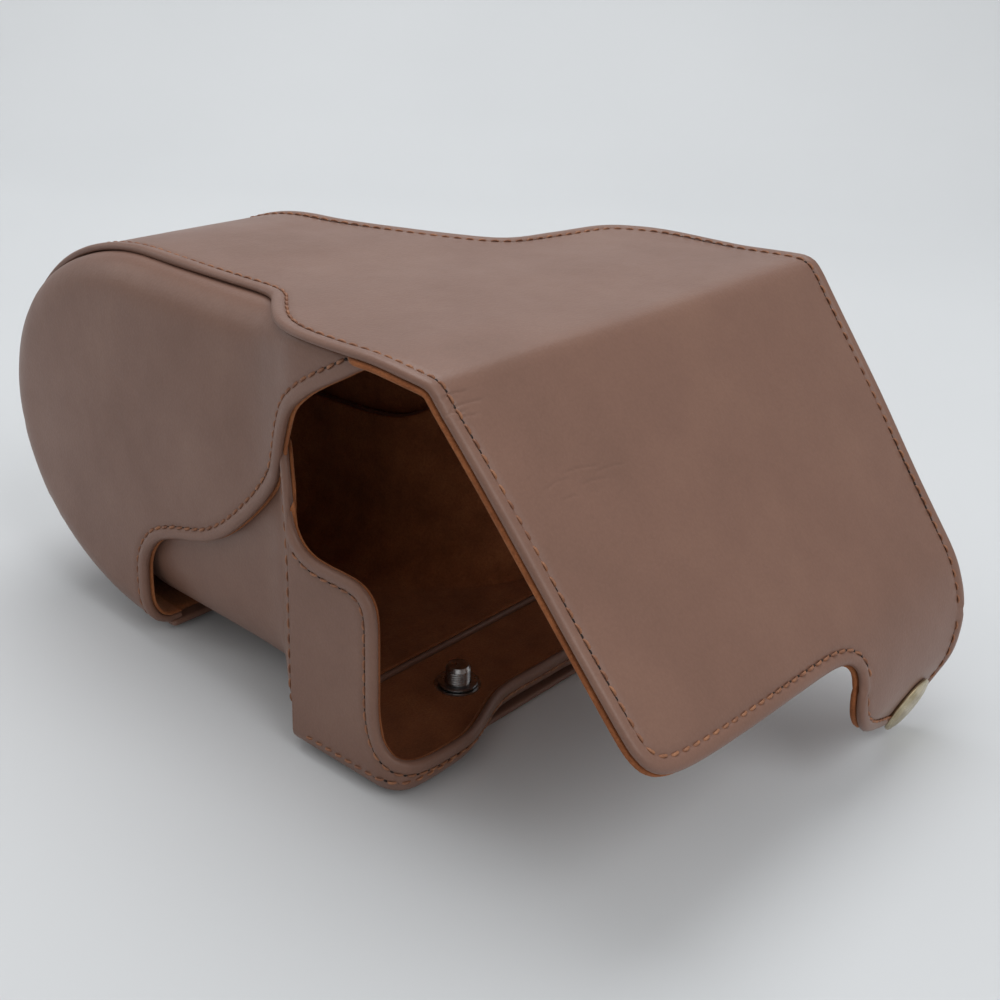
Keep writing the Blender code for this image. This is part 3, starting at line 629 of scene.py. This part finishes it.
def metal_material(name, dark, light, rough, scale):
    made, nodes, links, shader = shader_of(name)
    where = nodes.new("ShaderNodeTexCoord")
    clouds = noise(nodes, links, where, scale, 4.0, 0.65)
    colour = ramp(nodes, links, clouds.outputs["Fac"], [(0.3, dark), (0.68, light)])
    links.new(colour.outputs["Color"], shader.inputs["Base Color"])
    level = ramp(nodes, links, clouds.outputs["Fac"], [
        (0.3, (rough + 0.12,) * 3), (0.7, (rough,) * 3),
    ])
    links.new(level.outputs["Color"], shader.inputs["Roughness"])
    fine = noise(nodes, links, where, 1900, 2.0)
    brushed = bump(nodes, links, fine.outputs["Fac"], 0.08, 0.0001)
    links.new(brushed.outputs["Normal"], shader.inputs["Normal"])
    shader.inputs["Metallic"].default_value = 1.0
    return made


MATERIALS = {
    "leather": leather_material(),
    "suede": suede_material(),
    "thread": thread_material(),
    # the near-black painted shade inside the needle holes
    "hole": painted_hole_shade_material(),
    "brass": metal_material("antique_brass", (0.36, 0.29, 0.17), (0.62, 0.54, 0.38), 0.26, 260),
    "steel": metal_material("brushed_steel", (0.35, 0.35, 0.36), (0.62, 0.62, 0.62), 0.25, 500),
}


# ------------------------------------------------------------------ the long strip


def flap_middle(s):
    """The middle of the flap's thickness at s from the crease: (y, z, how far it faces up)."""
    y = CREASE[0] - FLAP_SET_IN + min(s, FLAP_STRAIGHT) * sin(LEAN)
    z = CREASE[1] - WALL / 2 - min(s, FLAP_STRAIGHT) * cos(LEAN)
    if s <= FLAP_STRAIGHT:
        return y, z, LEAN
    angle = LEAN - (s - FLAP_STRAIGHT) / FLAP_CURL_RADIUS
    return (y + FLAP_CURL_RADIUS * (cos(angle) - cos(LEAN)),
            z - FLAP_CURL_RADIUS * (sin(LEAN) - sin(angle)), angle)


def tab_middle(s):
    """The middle of the tab's thickness at s from its fold."""
    y, z, _ = flap_middle(TAB_FOLD)
    return y + s * sin(TAB_ANGLE), z - s * cos(TAB_ANGLE), TAB_ANGLE


def outside(y, z, angle):
    """The outer face beside a point in the middle of the thickness."""
    return y + WALL / 2 * cos(angle), z + WALL / 2 * sin(angle)


def strip_path():
    """(distance from the crease, y, z) along the strip's outer face."""
    path = [(STRIP_END_Y, NOSE_FLOOR_Z)]
    for angle in np.radians(np.arange(-90, 90.5, 1)):
        path.append((NOSE_Y - NOSE_LENGTH * cos(angle), NOSE_MID_Z + NOSE_RISE * sin(angle)))
    path.append(CREASE)
    before = spaced(path, 0.25)
    path = [CREASE] + [outside(*flap_middle(s)) for s in np.arange(0.6, TAB_FOLD + 0.01, 0.5)]
    path += [outside(*tab_middle(s)) for s in np.arange(0.8, TAB_LENGTH + 3, 0.5)]
    after = spaced(path, 0.25)
    whole = np.vstack([before, after[1:]])
    window = np.hanning(33)
    padded = np.pad(whole, ((16, 16), (0, 0)), mode="reflect", reflect_type="odd")
    weights = window / window.sum()
    smooth = np.column_stack([np.convolve(padded[:, i], weights, "valid") for i in (0, 1)])
    run = run_of(smooth)
    return np.column_stack([run - run[len(before) - 1], smooth])


PATH = strip_path()


def ease(value):
    """A step from 0 to 1 with soft ends."""
    value = np.clip(value, 0, 1)
    return value * value * (3 - 2 * value)


def on_strip(u, t):
    """The strip's outer face, at u across and t along it from the crease."""
    y, z = np.interp(t, PATH[:, 0], PATH[:, 1]), np.interp(t, PATH[:, 0], PATH[:, 2])
    grown = ease((t - TWIST_FROM) / 26) * np.clip((TWIST_TO - t) / TWIST_TO, 0, 1)
    out = -TWIST * np.clip(u / 62, -1, 1) * grown
    return np.column_stack([u, y + out * sin(TWIST_LEAN), z + out * cos(TWIST_LEAN)])


def closed_ring(parts, step=1.3):
    """One closed outline from pieces of (points, is a free edge), evenly spaced."""
    points, flags = [], []
    for part, is_free in parts:
        part = spaced(part, step)
        points.append(part[:-1])
        flags.append(np.full(len(part) - 1, is_free))
    return np.vstack(points), np.concatenate(flags)


def swell(uv):
    """The slow unevenness of leather that has been bent and handled."""
    u, v = uv.T
    return 0.13 * np.sin(u / 11 + 1.3) * np.sin(v / 14) + 0.1 * np.sin(v / 7 + u / 17)


def split_flap_edge():
    """The flap's near and far edges, and the tab's edge between them."""
    edge = curve(FLAP_EDGE)
    beyond = np.flatnonzero(edge[:, 1] > TAB_START)
    first, last = beyond[0], beyond[-1]
    rising, falling = edge[first - 1:first + 1], edge[last:last + 2][::-1]
    near = (float(np.interp(TAB_START, rising[:, 1], rising[:, 0])), TAB_START)
    far = (float(np.interp(TAB_START, falling[:, 1], falling[:, 0])), TAB_START)
    return (np.vstack([edge[:first], [near]]), np.vstack([[near], edge[first:last + 1], [far]]),
            np.vstack([[far], edge[last + 1:]]))


def cover_strip():
    near_x, far_x = reader(NEAR_TOP_EDGE), reader(FAR_TOP_EDGE)
    ts = np.arange(PATH[0, 0] + 0.2, 0, 0.4)
    ys = np.interp(ts, PATH[:, 0], PATH[:, 1])
    near = np.column_stack([near_x(ys), ts])
    far = np.column_stack([far_x(ys), ts])
    flap_near, _, flap_far = split_flap_edge()
    outline, free = closed_ring([
        (np.array([far[0], near[0]]), True), (np.vstack([near, flap_near]), True),
        (np.array([flap_near[-1], flap_far[0]]), False), (np.vstack([flap_far, far[::-1]]), True),
    ])
    tracks = [curve(line, 0.5) for line in CREASE_WRINKLES]
    beside = (-0.9, -0.5, -0.22, 0, 0.22, 0.5, 0.9)
    extra = [track + (0, shift) for track in tracks for shift in beside]

    def relief(uv):
        raised = swell(uv)
        for track in tracks:
            depth = 0.13 if track[0, 1] < 10 else 0.07
            d = distance_to(uv, track[:-1], track[1:])
            from_ends = [np.linalg.norm(uv - end, axis=1) for end in (track[0], track[-1])]
            furrow = depth * np.exp(-((d / 0.24) ** 2))
            banks = 0.05 * np.exp(-(((d - 0.6) / 0.3) ** 2))
            raised += ease(np.minimum(*from_ends) / 1.5) * (banks - furrow)
        return raised

    bend = ("cover", "flap", (0, CREASE[0] - 4.4, TOP_Z), (0, CREASE[0] + 3.4, TOP_Z))
    top = skin("cover_and_flap_leather", outline, free, on_strip, "leather", bend,
               thickness=FLAP_LEATHER, extra=np.vstack(extra), relief=relief)
    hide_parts("top_panel", "nose_band", "flap_panel")
    by_the_sides = 1 - ease((outline[:, 1] - FLAP_LINING_FROM) / 6)
    inset = np.where(free, SUEDE_SHOWS + (STRIP_LINING_IN - SUEDE_SHOWS) * by_the_sides, 0)
    inner, inner_free = lining_of(outline, free, inset)
    lining = skin("cover_and_flap_lining", inner, inner_free, on_strip, "suede", bend,
                  depth=FLAP_LINING_DEPTH, thickness=FLAP_LINING, step=3.4, rings=LINING_RINGS,
                  relief=swell)
    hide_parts("top_panel_lining", "nose_band_lining", "flap_panel_lining")
    sewn = stitches("cover_and_flap_stitching", seam_runs(outline, free), on_strip, bend)


def tab():
    _, edge, _ = split_flap_edge()
    outline, free = closed_ring([(edge, True), (np.array([edge[-1], edge[0]]), False)])
    y, z, _ = tab_middle(0)
    bend = ("flap", "snap_tab", (0, y + 0.1, z + 4.5), (0, y - 0.9, z - 3.5))
    leather = skin("tab_leather", outline, free, on_strip, "leather", bend,
                   thickness=FLAP_LEATHER, step=2.0, relief=swell)
    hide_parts("tab_panel")
    inner, inner_free = lining_of(outline, free, np.where(free, SUEDE_SHOWS, 0))
    lining = skin("tab_lining", inner, inner_free, on_strip, "suede", bend,
                  depth=FLAP_LINING_DEPTH, thickness=FLAP_LINING, step=3.0, rings=LINING_RINGS,
                  relief=swell)
    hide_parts("tab_panel_lining")
    stitches("tab_stitching", seam_runs(outline, free), on_strip, bend)


# ------------------------------------------------------------------ the cover's moulded sides


def side_surface(plan, facing):
    """A surface read by the distance along the plan, from the nose's tip, and the height."""
    points = curve(plan[::-1], 0.5)
    if facing < 0:
        points = points[::-1]
    run = run_of(points)
    tangent = np.gradient(points, axis=0)
    normal = np.column_stack([tangent[:, 1], -tangent[:, 0]])
    normal /= np.linalg.norm(normal, axis=1, keepdims=True)

    inset = TOP_Z - SIDE_TOP_Z
    low = NOSE_FLOOR_Z + inset

    def place(u, z):
        x, y = np.interp(u, run, points[:, 0]), np.interp(u, run, points[:, 1])
        nx, ny = np.interp(u, run, normal[:, 0]), np.interp(u, run, normal[:, 1])
        nose, foot = y < NOSE_Y, y < NOSE_Y + 6
        rounding = BODY_EDGE_ROUND + (NOSE_EDGE_ROUND - BODY_EDGE_ROUND) * np.clip((4 - y) / 20, 0, 1)
        ring = np.hypot((y - NOSE_Y) / (NOSE_LENGTH - inset), (z - NOSE_MID_Z) / (NOSE_RISE - inset))
        past = np.maximum(z - SIDE_TOP_Z, np.where(foot, low - z, 0))
        past = np.maximum(np.where(nose, (ring - 1) * NOSE_RISE, past), 0)
        shrink = np.where(nose, 1 / np.maximum(ring, 1), 1)
        y = np.where(nose, NOSE_Y + (y - NOSE_Y) * shrink, y)
        lowest = np.where(foot, low, -99)
        z = np.where(nose, NOSE_MID_Z + (z - NOSE_MID_Z) * shrink, np.clip(z, lowest, SIDE_TOP_Z))
        gap = np.where(nose, (1 - ring) * NOSE_RISE, np.minimum(SIDE_TOP_Z - z, z - lowest))
        bend = 1 - np.clip(gap / rounding, 0, 1)
        back = rounding * EDGE_TUCK * (1 - np.sqrt(np.maximum(0, 1 - bend * bend))) + past
        return np.column_stack([x - nx * back, y - ny * back, z])

    def along(y):
        order = np.argsort(points[:, 1])
        return np.interp(y, points[order, 1], run[order])

    return place, along


def side(name, plan, free_edge, facing, node_name):
    place, along = side_surface(plan, facing)
    inset = TOP_Z - SIDE_TOP_Z - SIDE_TUCKED
    edge = np.vstack([[(free_edge[0][0], NOSE_FLOOR_Z + inset)], curve(free_edge, 0.5)])
    edge = np.column_stack([along(edge[:, 0]), edge[:, 1]])
    hidden = [(y, TOP_Z - inset) for y in np.arange(25, NOSE_Y, -1.0)]
    for angle in np.radians(np.arange(90, -90.5, -2)):
        y = NOSE_Y - (NOSE_LENGTH - inset) * cos(angle)
        hidden.append((y, NOSE_MID_Z + (NOSE_RISE - inset) * sin(angle)))
    hidden = np.array(hidden)
    hidden = np.column_stack([along(hidden[:, 0]), hidden[:, 1]])
    hidden = np.vstack([edge[-1:], hidden, edge[:1]])
    outline, free = closed_ring([(edge, True), (hidden, False)])
    if facing < 0:
        outline, free = outline[::-1], free[::-1]

    def relief(uv):
        return 0.12 * np.sin(uv[:, 0] / 9 + 0.7) * np.sin(uv[:, 1] / 13 + 0.4)

    leather = skin(name + "_leather", outline, free, place, "leather", "cover", relief=relief)
    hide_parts(node_name)
    inner, inner_free = lining_of(outline, free, np.where(free, -0.1, 0.5))
    lining = skin(name + "_suede", inner, inner_free, place, "suede", "cover",
                  depth=LEATHER + 0.1, thickness=SUEDE, step=3.4, rings=LINING_RINGS)
    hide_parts(node_name + "_lining")
    sewn = stitches(name + "_stitching", seam_runs(outline, free), place, "cover")


# ------------------------------------------------------------------ the half case


def rim_surface():
    points = curve(RIM_PLAN, 0.5)
    run = run_of(points)
    tangent = np.gradient(points, axis=0)
    normal = np.column_stack([tangent[:, 1], -tangent[:, 0]])
    normal /= np.linalg.norm(normal, axis=1, keepdims=True)
    r = BASE_ROUND

    def place(u, v):
        """v is the length up the wall from where its rounded foot starts."""
        x, y = np.interp(u, run, points[:, 0]), np.interp(u, run, points[:, 1])
        nx, ny = np.interp(u, run, normal[:, 0]), np.interp(u, run, normal[:, 1])
        turn = np.clip(v / r, 0, pi / 2)
        inset = r * (1 - np.sin(turn)) + np.maximum(0, -v)
        z = 0.05 + r * (1 - np.cos(turn)) + np.maximum(0, v - r * pi / 2)
        return np.column_stack([x - nx * inset, y - ny * inset, z])

    return place, run[-1]


def half_case():
    place, total = rim_surface()
    start, end = LINING_BEYOND, total - LINING_BEYOND
    up = BASE_ROUND * (pi / 2 - 1)
    rim = SIDE_RIM + [(50, 7), (58, LIP_Z)]
    near_rim = [(start + u, z) for u, z in rim]
    far_rim = [(end - u, z) for u, z in reversed(rim)]
    lip = [(start + u, LIP_Z) for u in np.arange(68, end - start - 66, 10)]
    top = curve(near_rim + lip + far_rim, 0.5)[::-1] + (0, up)
    foot = np.array([(start, -FOOT_TURNED_IN), (end, -FOOT_TURNED_IN)])
    outline, free = closed_ring([
        (foot, False), (np.array([foot[1], top[0]]), False), (top, True),
        (np.array([top[-1], foot[0]]), False),
    ])
    leather = skin("half_case_leather", outline, free, place, "leather", "half_case", step=2.4)
    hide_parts("left_wall", "right_wall", "rear_lip")
    at_ends = (outline[:, 0] < start + 0.01) | (outline[:, 0] > end - 0.01)
    inset = np.where(at_ends, 0.2 - LINING_BEYOND, 0.5)
    inner, inner_free = lining_of(outline, free, inset)
    lining = skin("half_case_lining", inner, inner_free, place, "suede", "half_case",
                  depth=LEATHER + 0.05, thickness=SUEDE, step=3.0, rings=LINING_RINGS)
    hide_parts("left_wall_lining", "right_wall_lining", "rear_lip_lining")
    runs = seam_runs(outline, free)
    lower = np.array([(u, LOWER_SEAM_Z + up) for u in np.arange(start + 4, end - 3.5, 1.5)])
    stitches("half_case_stitching", runs + [lower], place, "half_case")


def flat_surface(z, facing):
    def place(u, v):
        return np.column_stack([u * facing, v, np.full(len(u), z)])
    return place


def base():
    wall_x = RIM_PLAN[0][0]
    plan = np.vstack([curve(RIM_PLAN, 1.0), [(-wall_x, BASE_FRONT_Y), (wall_x, BASE_FRONT_Y)]])
    outline, _ = closed_ring([(np.vstack([plan, plan[:1]]), False)])
    inner, kept = ring_points(outline, BASE_INSET)
    under = spaced(np.vstack([inner[kept], inner[kept][:1]]), 1.5)[:-1]
    mirrored = (under * (-1, 1))[::-1]
    none = np.zeros(len(mirrored), bool)
    leather = skin("base_leather", mirrored, none, flat_surface(BASE_Z, -1), "leather", "half_case",
                   thickness=1.5, step=4.0, rings=(0, 1.5))
    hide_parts("base_panel")
    floor, kept = ring_points(outline, FLOOR_INSET)
    floor = spaced(np.vstack([floor[kept], floor[kept][:1]]), 1.5)[:-1]
    lining = skin("floor_suede", floor, np.zeros(len(floor), bool), flat_surface(FLOOR_Z, 1),
                  "suede", "half_case", thickness=1.2, step=3.0, rings=(0, 1.5))
    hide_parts("base_lining")


def sole():
    """The plate sewn under the base, cut from its outer edge to the round hole for the screw's head."""
    across, middle = -SCREW_PLACE[0], SCREW_PLACE[1]
    left, right = -SOLE_X[1], -SOLE_X[0]
    rear, fore = SOLE_Y[1], SOLE_Y[0]
    outer = [(across, fore)]
    for x, y, start in ((right, fore, -90), (right, rear, 0), (left, rear, 90), (left, fore, 180)):
        centre = (x - SOLE_CORNER if x > across else x + SOLE_CORNER,
                  y - SOLE_CORNER if y > middle else y + SOLE_CORNER)
        outer += [tuple(p) for p in arc(centre, SOLE_CORNER, start, start + 90)]
    outer.append((across, fore))
    hole = arc((across, middle), SOLE_HOLE, 270, -90)
    cut = np.array([outer[0], hole[0]])
    outline, free = closed_ring([
        (np.array(outer), True), (cut, False), (hole, False), (cut[::-1], False),
    ])
    place = flat_surface(SOLE_Z, -1)
    leather = skin("sole_leather", outline, free, place, "leather", "half_case",
                   thickness=1.3, step=2.2)
    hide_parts("base_sole")
    stitches("sole_stitching", seam_runs(outline, free), place, "half_case")


def front_surface():
    """The moulded front, as a fine grid read between its points."""
    near, far = reader(FRONT_NEAR_X, 0, 1), reader(FRONT_FAR_X, 0, 1)
    rim = reader(FRONT_RIM_Z, 0, 1)
    stations = [(y, 0.0) for y in np.arange(1.2, SCOOP_END_Y, -0.8)]
    for angle in np.radians(np.arange(0, 84, 4)):
        inset = SCOOP_END_ROUND * (1 - cos(angle))
        stations.append((SCOOP_END_Y - SCOOP_END_ROUND * sin(angle), inset))
    grid = []
    for y, inset in stations:
        at = max(y, SCOOP_END_Y)
        left, right = float(near(at)) - inset, float(far(at)) + inset
        low, high = SCOOP_FLOOR_Z + inset + 0.5 * float(ease((at + 1.4) / 1.6)), float(rim(at))
        near_round = float(np.interp(at, (-12, -2.4, 0.4), (SCOOP_ROUND, 9.6, 3))) - inset * 0.8
        far_round = float(np.interp(at, (-30, -14, -2.4, 0.4), (SCOOP_ROUND, 8, 5.4, 3))) - inset * 0.8
        near_arc = arc((left - near_round, low + near_round), near_round, 0, -90, 1.0)
        far_arc = arc((right + far_round, low + far_round), far_round, -90, -180, 1.0)
        even = spaced(np.vstack([[(left, high)], near_arc, far_arc, [(right, high)]]), 0.5)
        pick = np.linspace(0, len(even) - 1, FRONT_COLUMNS)
        x = np.interp(pick, np.arange(len(even)), even[:, 0])
        z = np.interp(pick, np.arange(len(even)), even[:, 1])
        grid.append(np.column_stack([x, np.full(FRONT_COLUMNS, y), z]))
    grid = np.array(grid)
    for _ in range(2):
        grid[1:-1] = (grid[:-2] + 2 * grid[1:-1] + grid[2:]) / 4
        grid[:, 1:-1] = (grid[:, :-2] + 2 * grid[:, 1:-1] + grid[:, 2:]) / 4
    length = run_of(grid[:, FRONT_COLUMNS // 2])
    width = run_of(grid[FRONT_WIDEST])[-1]
    rows, columns = grid.shape[:2]

    def place(u, v):
        i = np.clip(np.interp(u, length, np.arange(rows)), 0, rows - 1.001)
        j = np.clip(v / width * (columns - 1), 0, columns - 1.001)
        i0, j0 = i.astype(int), j.astype(int)
        a, b = (i - i0)[:, None], (j - j0)[:, None]
        return ((grid[i0, j0] * (1 - a) + grid[i0 + 1, j0] * a) * (1 - b)
                + (grid[i0, j0 + 1] * (1 - a) + grid[i0 + 1, j0 + 1] * a) * b)

    return place, length[-1], width


def front():
    place, length, width = front_surface()
    u0, u1, v0, v1 = 0.2, length - 0.4, 0.4, width - 0.4
    near = curve([(u0 + a, v0 + b) for a, b in FRONT_CORNER])
    far = curve([(u0 + a, v1 - b) for a, b in reversed(FRONT_CORNER)])
    rear = np.vstack([far, near])
    sides = [
        (np.array([near[-1], (u1, v0)]), True), (np.array([(u1, v0), (u1, v1)]), True),
        (np.array([(u1, v1), far[0]]), True), (rear, True),
    ]
    outline, free = closed_ring(sides)
    leather = skin("front_leather", outline, free, place, "leather", "half_case")
    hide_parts("front_shell")
    inner, inner_free = lining_of(outline, free, 0.5)
    lining = skin("front_lining", inner, inner_free, place, "suede", "half_case",
                  depth=LEATHER + 0.05, thickness=SUEDE, step=3.4, rings=LINING_RINGS)
    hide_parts("front_shell_lining")
    stitches("front_stitching", seam_runs(outline, free), place, "half_case")


def front_strap():
    low, high = STRAP_X
    middle, half = (low + high) / 2, (high - low) / 2
    edge = [(low, STRAP_FRONT_Y), (high, STRAP_FRONT_Y)]
    tip = [(middle + half * cos(a), STRAP_REAR_Y + STRAP_TIP * (sin(a) - 1))
           for a in np.radians(range(0, 181, 6))]
    ring = np.array(edge + tip + edge[:1])
    outline, _ = closed_ring([(ring, True)])
    outline = (outline * (-1, 1))[::-1]
    free = outline[:, 1] > STRAP_FRONT_Y + 0.5
    place = flat_surface(STRAP_Z, -1)
    bend = ("half_case", "cover", (0, -58.6, 1.6), (0, -62.4, 1.6))
    leather = skin("front_strap_leather", outline, free, place, "leather", bend,
                   thickness=1.3, step=3.0)
    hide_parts("front_strap")
    stitches("front_strap_stitching", seam_runs(outline, free), place, bend)


# ------------------------------------------------------------------ metal


def turned(name, profile, place, normal, kind, body, steps=72):
    """A profile of (radius, height) turned round a normal, closed at both ends."""
    points, faces, rings = [], [], []
    turn = np.array(Vector((0, 0, 1)).rotation_difference(Vector(normal)).to_matrix())
    for radius, height in profile:
        ring = []
        for i in range(steps if radius else 1):
            angle = 2 * pi * i / steps
            ring.append(len(points))
            spot = np.array((radius * cos(angle), radius * sin(angle), height))
            points.append(turn @ spot + place)
        rings.append(ring)
    for lower, upper in zip(rings, rings[1:]):
        for i in range(steps):
            corners = [lower[i % len(lower)], lower[(i + 1) % len(lower)],
                       upper[(i + 1) % len(upper)], upper[i % len(upper)]]
            face = tuple(dict.fromkeys(corners))
            if len(face) > 2:
                faces.append(face)
    return mesh_object(name, np.array(points), faces, [MATERIALS[kind]], body, 38)


def metal():
    mid = tab_middle(CAP_ALONG)
    normal = (0, cos(TAB_ANGLE), sin(TAB_ANGLE))
    at = (TAB_X, *outside(*mid))
    dome = [(0, -1.2), (1.3, -1.2), (1.3, 0.05), (7.2, 0.0), (7.5, 0.2), (7.6, 0.55), (7.45, 0.9)]
    dome += [(7.1, 1.1), (6.8, 1.06)]
    dome += [(6.6 * cos(a), 1.04 + 0.95 * sin(a)) for a in np.radians(range(8, 84, 8))]
    dome.append((0, 1.99))
    cap = turned("brass_snap_cap", dome, at, normal, "brass", "snap_tab")
    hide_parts("snap_cap")
    back = -LEATHER - 0.3
    ring = [(3.3, back - 0.75), (3.6, back - 0.95), (5.0, back - 0.95), (5.4, back - 0.7),
            (5.4, back + 0.2), (3.3, back + 0.2), (3.3, back - 0.75)]
    socket = turned("brass_snap_socket", ring, at, normal, "brass", "snap_tab")
    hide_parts("snap_socket")
    thread = [(0, -0.4), (3.0, -0.4)]
    z = -0.2
    while z < 8.0:
        thread += [(3.0, z), (2.62, z + 0.32)]
        z += 0.64
    thread += [(3.0, z), (2.5, 9.0), (0, 9.0)]
    head = [(0, -1.5), (7.3, -1.5), (7.9, -1.2), (8.0, -0.9), (8.0, -0.6), (7.7, -0.3)] + thread[1:]
    screw = turned("tripod_screw_steel", head, (*SCREW_PLACE, 0), (0, 0, 1), "steel", "tripod_screw")
    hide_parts("tripod_screw")
    kept = {
        "snap_stud": "brass", "stud_rivet": "brass", "front_snap_cap": "brass",
        "front_snap_rivet": "brass", "tripod_bush": "steel", "screw_clip": "steel",
    }
    for name, kind in kept.items():
        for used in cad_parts[name].material_slots:
            used.material = MATERIALS[kind]


# ------------------------------------------------------------------ stage


def stage():
    """A pale sweep of paper that the case stands on, a soft sky and three large lamps."""
    made, nodes, links, shader = shader_of("pale_paper")
    where = nodes.new("ShaderNodeTexCoord")
    clouds = noise(nodes, links, where, 3, 2.0)
    colour = ramp(nodes, links, clouds.outputs["Fac"], [
        (0.3, (0.60, 0.62, 0.64)), (0.7, (0.63, 0.65, 0.67)),
    ])
    links.new(colour.outputs["Color"], shader.inputs["Base Color"])
    shader.inputs["Roughness"].default_value = 0.7
    shader.inputs["Specular IOR Level"].default_value = 0.2
    mesh = bpy.data.meshes.new("floor")
    away = np.array((-0.767, -0.643))
    side_way = np.array((-away[1], away[0]))
    profile = [(-2.5, 0.0), (0.55, 0.0)]
    profile += [(0.55 + 0.5 * sin(radians(a)), 0.5 * (1 - cos(radians(a)))) for a in range(9, 91, 9)]
    profile.append((1.05, 3.0))
    points = []
    for run, z in profile:
        for across in (-3.5, 3.5):
            spot = away * run + side_way * across
            points.append((spot[0], spot[1], z))
    faces = [(2 * i, 2 * i + 1, 2 * i + 3, 2 * i + 2) for i in range(len(profile) - 1)]
    mesh.from_pydata(points, [], faces)
    mesh.shade_smooth()
    mesh.materials.append(made)
    floor = bpy.data.objects.new("floor", mesh)
    bpy.context.collection.objects.link(floor)

    world = bpy.data.worlds.new("studio")
    bpy.context.scene.world = world
    world.use_nodes = True
    world.node_tree.nodes["Background"].inputs["Color"].default_value = (0.93, 0.925, 0.91, 1)
    world.node_tree.nodes["Background"].inputs["Strength"].default_value = 0.57
    for name, place, size, power, aim in (
        ("top_light", (-0.25, -0.3, 1.05), 1.0, 6.9, (0, -0.02, 0.05)),
        ("key_light", (0.1, 0.85, 0.85), 0.8, 4.3, (0, 0.02, 0.05)),
        ("side_light", (0.5, -1.0, 0.6), 0.7, 1.6, (0, 0, 0.05)),
    ):
        lamp = bpy.data.lights.new(name, "AREA")
        lamp.shape = "DISK"
        lamp.size = size
        lamp.energy = power
        obj = bpy.data.objects.new(name, lamp)
        obj.location = place
        obj.rotation_euler = (Vector(aim) - Vector(place)).to_track_quat("-Z", "Y").to_euler()
        bpy.context.collection.objects.link(obj)


CAMERA_PLACE = (229.5, 198.4, 178.8)
CAMERA_TURN = radians(129.97)
CAMERA_LIFT = radians(24.52)
CAMERA_ROLL = radians(2.69)
CAMERA_LENS = 49.04


def camera():
    """The photograph's camera, held with a slight roll."""
    back = Vector((sin(CAMERA_TURN) * cos(CAMERA_LIFT), -cos(CAMERA_TURN) * cos(CAMERA_LIFT),
                   sin(CAMERA_LIFT)))
    right = Vector((0, 0, 1)).cross(back).normalized()
    up = back.cross(right)
    leant_right = right * cos(CAMERA_ROLL) + up * sin(CAMERA_ROLL)
    leant_up = up * cos(CAMERA_ROLL) - right * sin(CAMERA_ROLL)
    lens = bpy.data.cameras.new("camera")
    lens.sensor_width = 36
    lens.lens = CAMERA_LENS
    lens.clip_start = 0.01
    obj = bpy.data.objects.new("camera", lens)
    spot = metres(CAMERA_PLACE)
    obj.matrix_world = Matrix.Translation(Vector(spot)) @ Matrix(
        (leant_right, leant_up, back)).transposed().to_4x4()
    bpy.context.collection.objects.link(obj)
    bpy.context.scene.camera = obj


cover_strip()
tab()
side("near_side", NEAR_SIDE, NEAR_FREE_EDGE, 1, "left_shell")
side("far_side", FAR_SIDE, FAR_FREE_EDGE, -1, "right_shell")
half_case()
base()
sole()
front()
front_strap()
metal()
stage()
camera()
bpy.context.scene.view_settings.view_transform = "Standard"
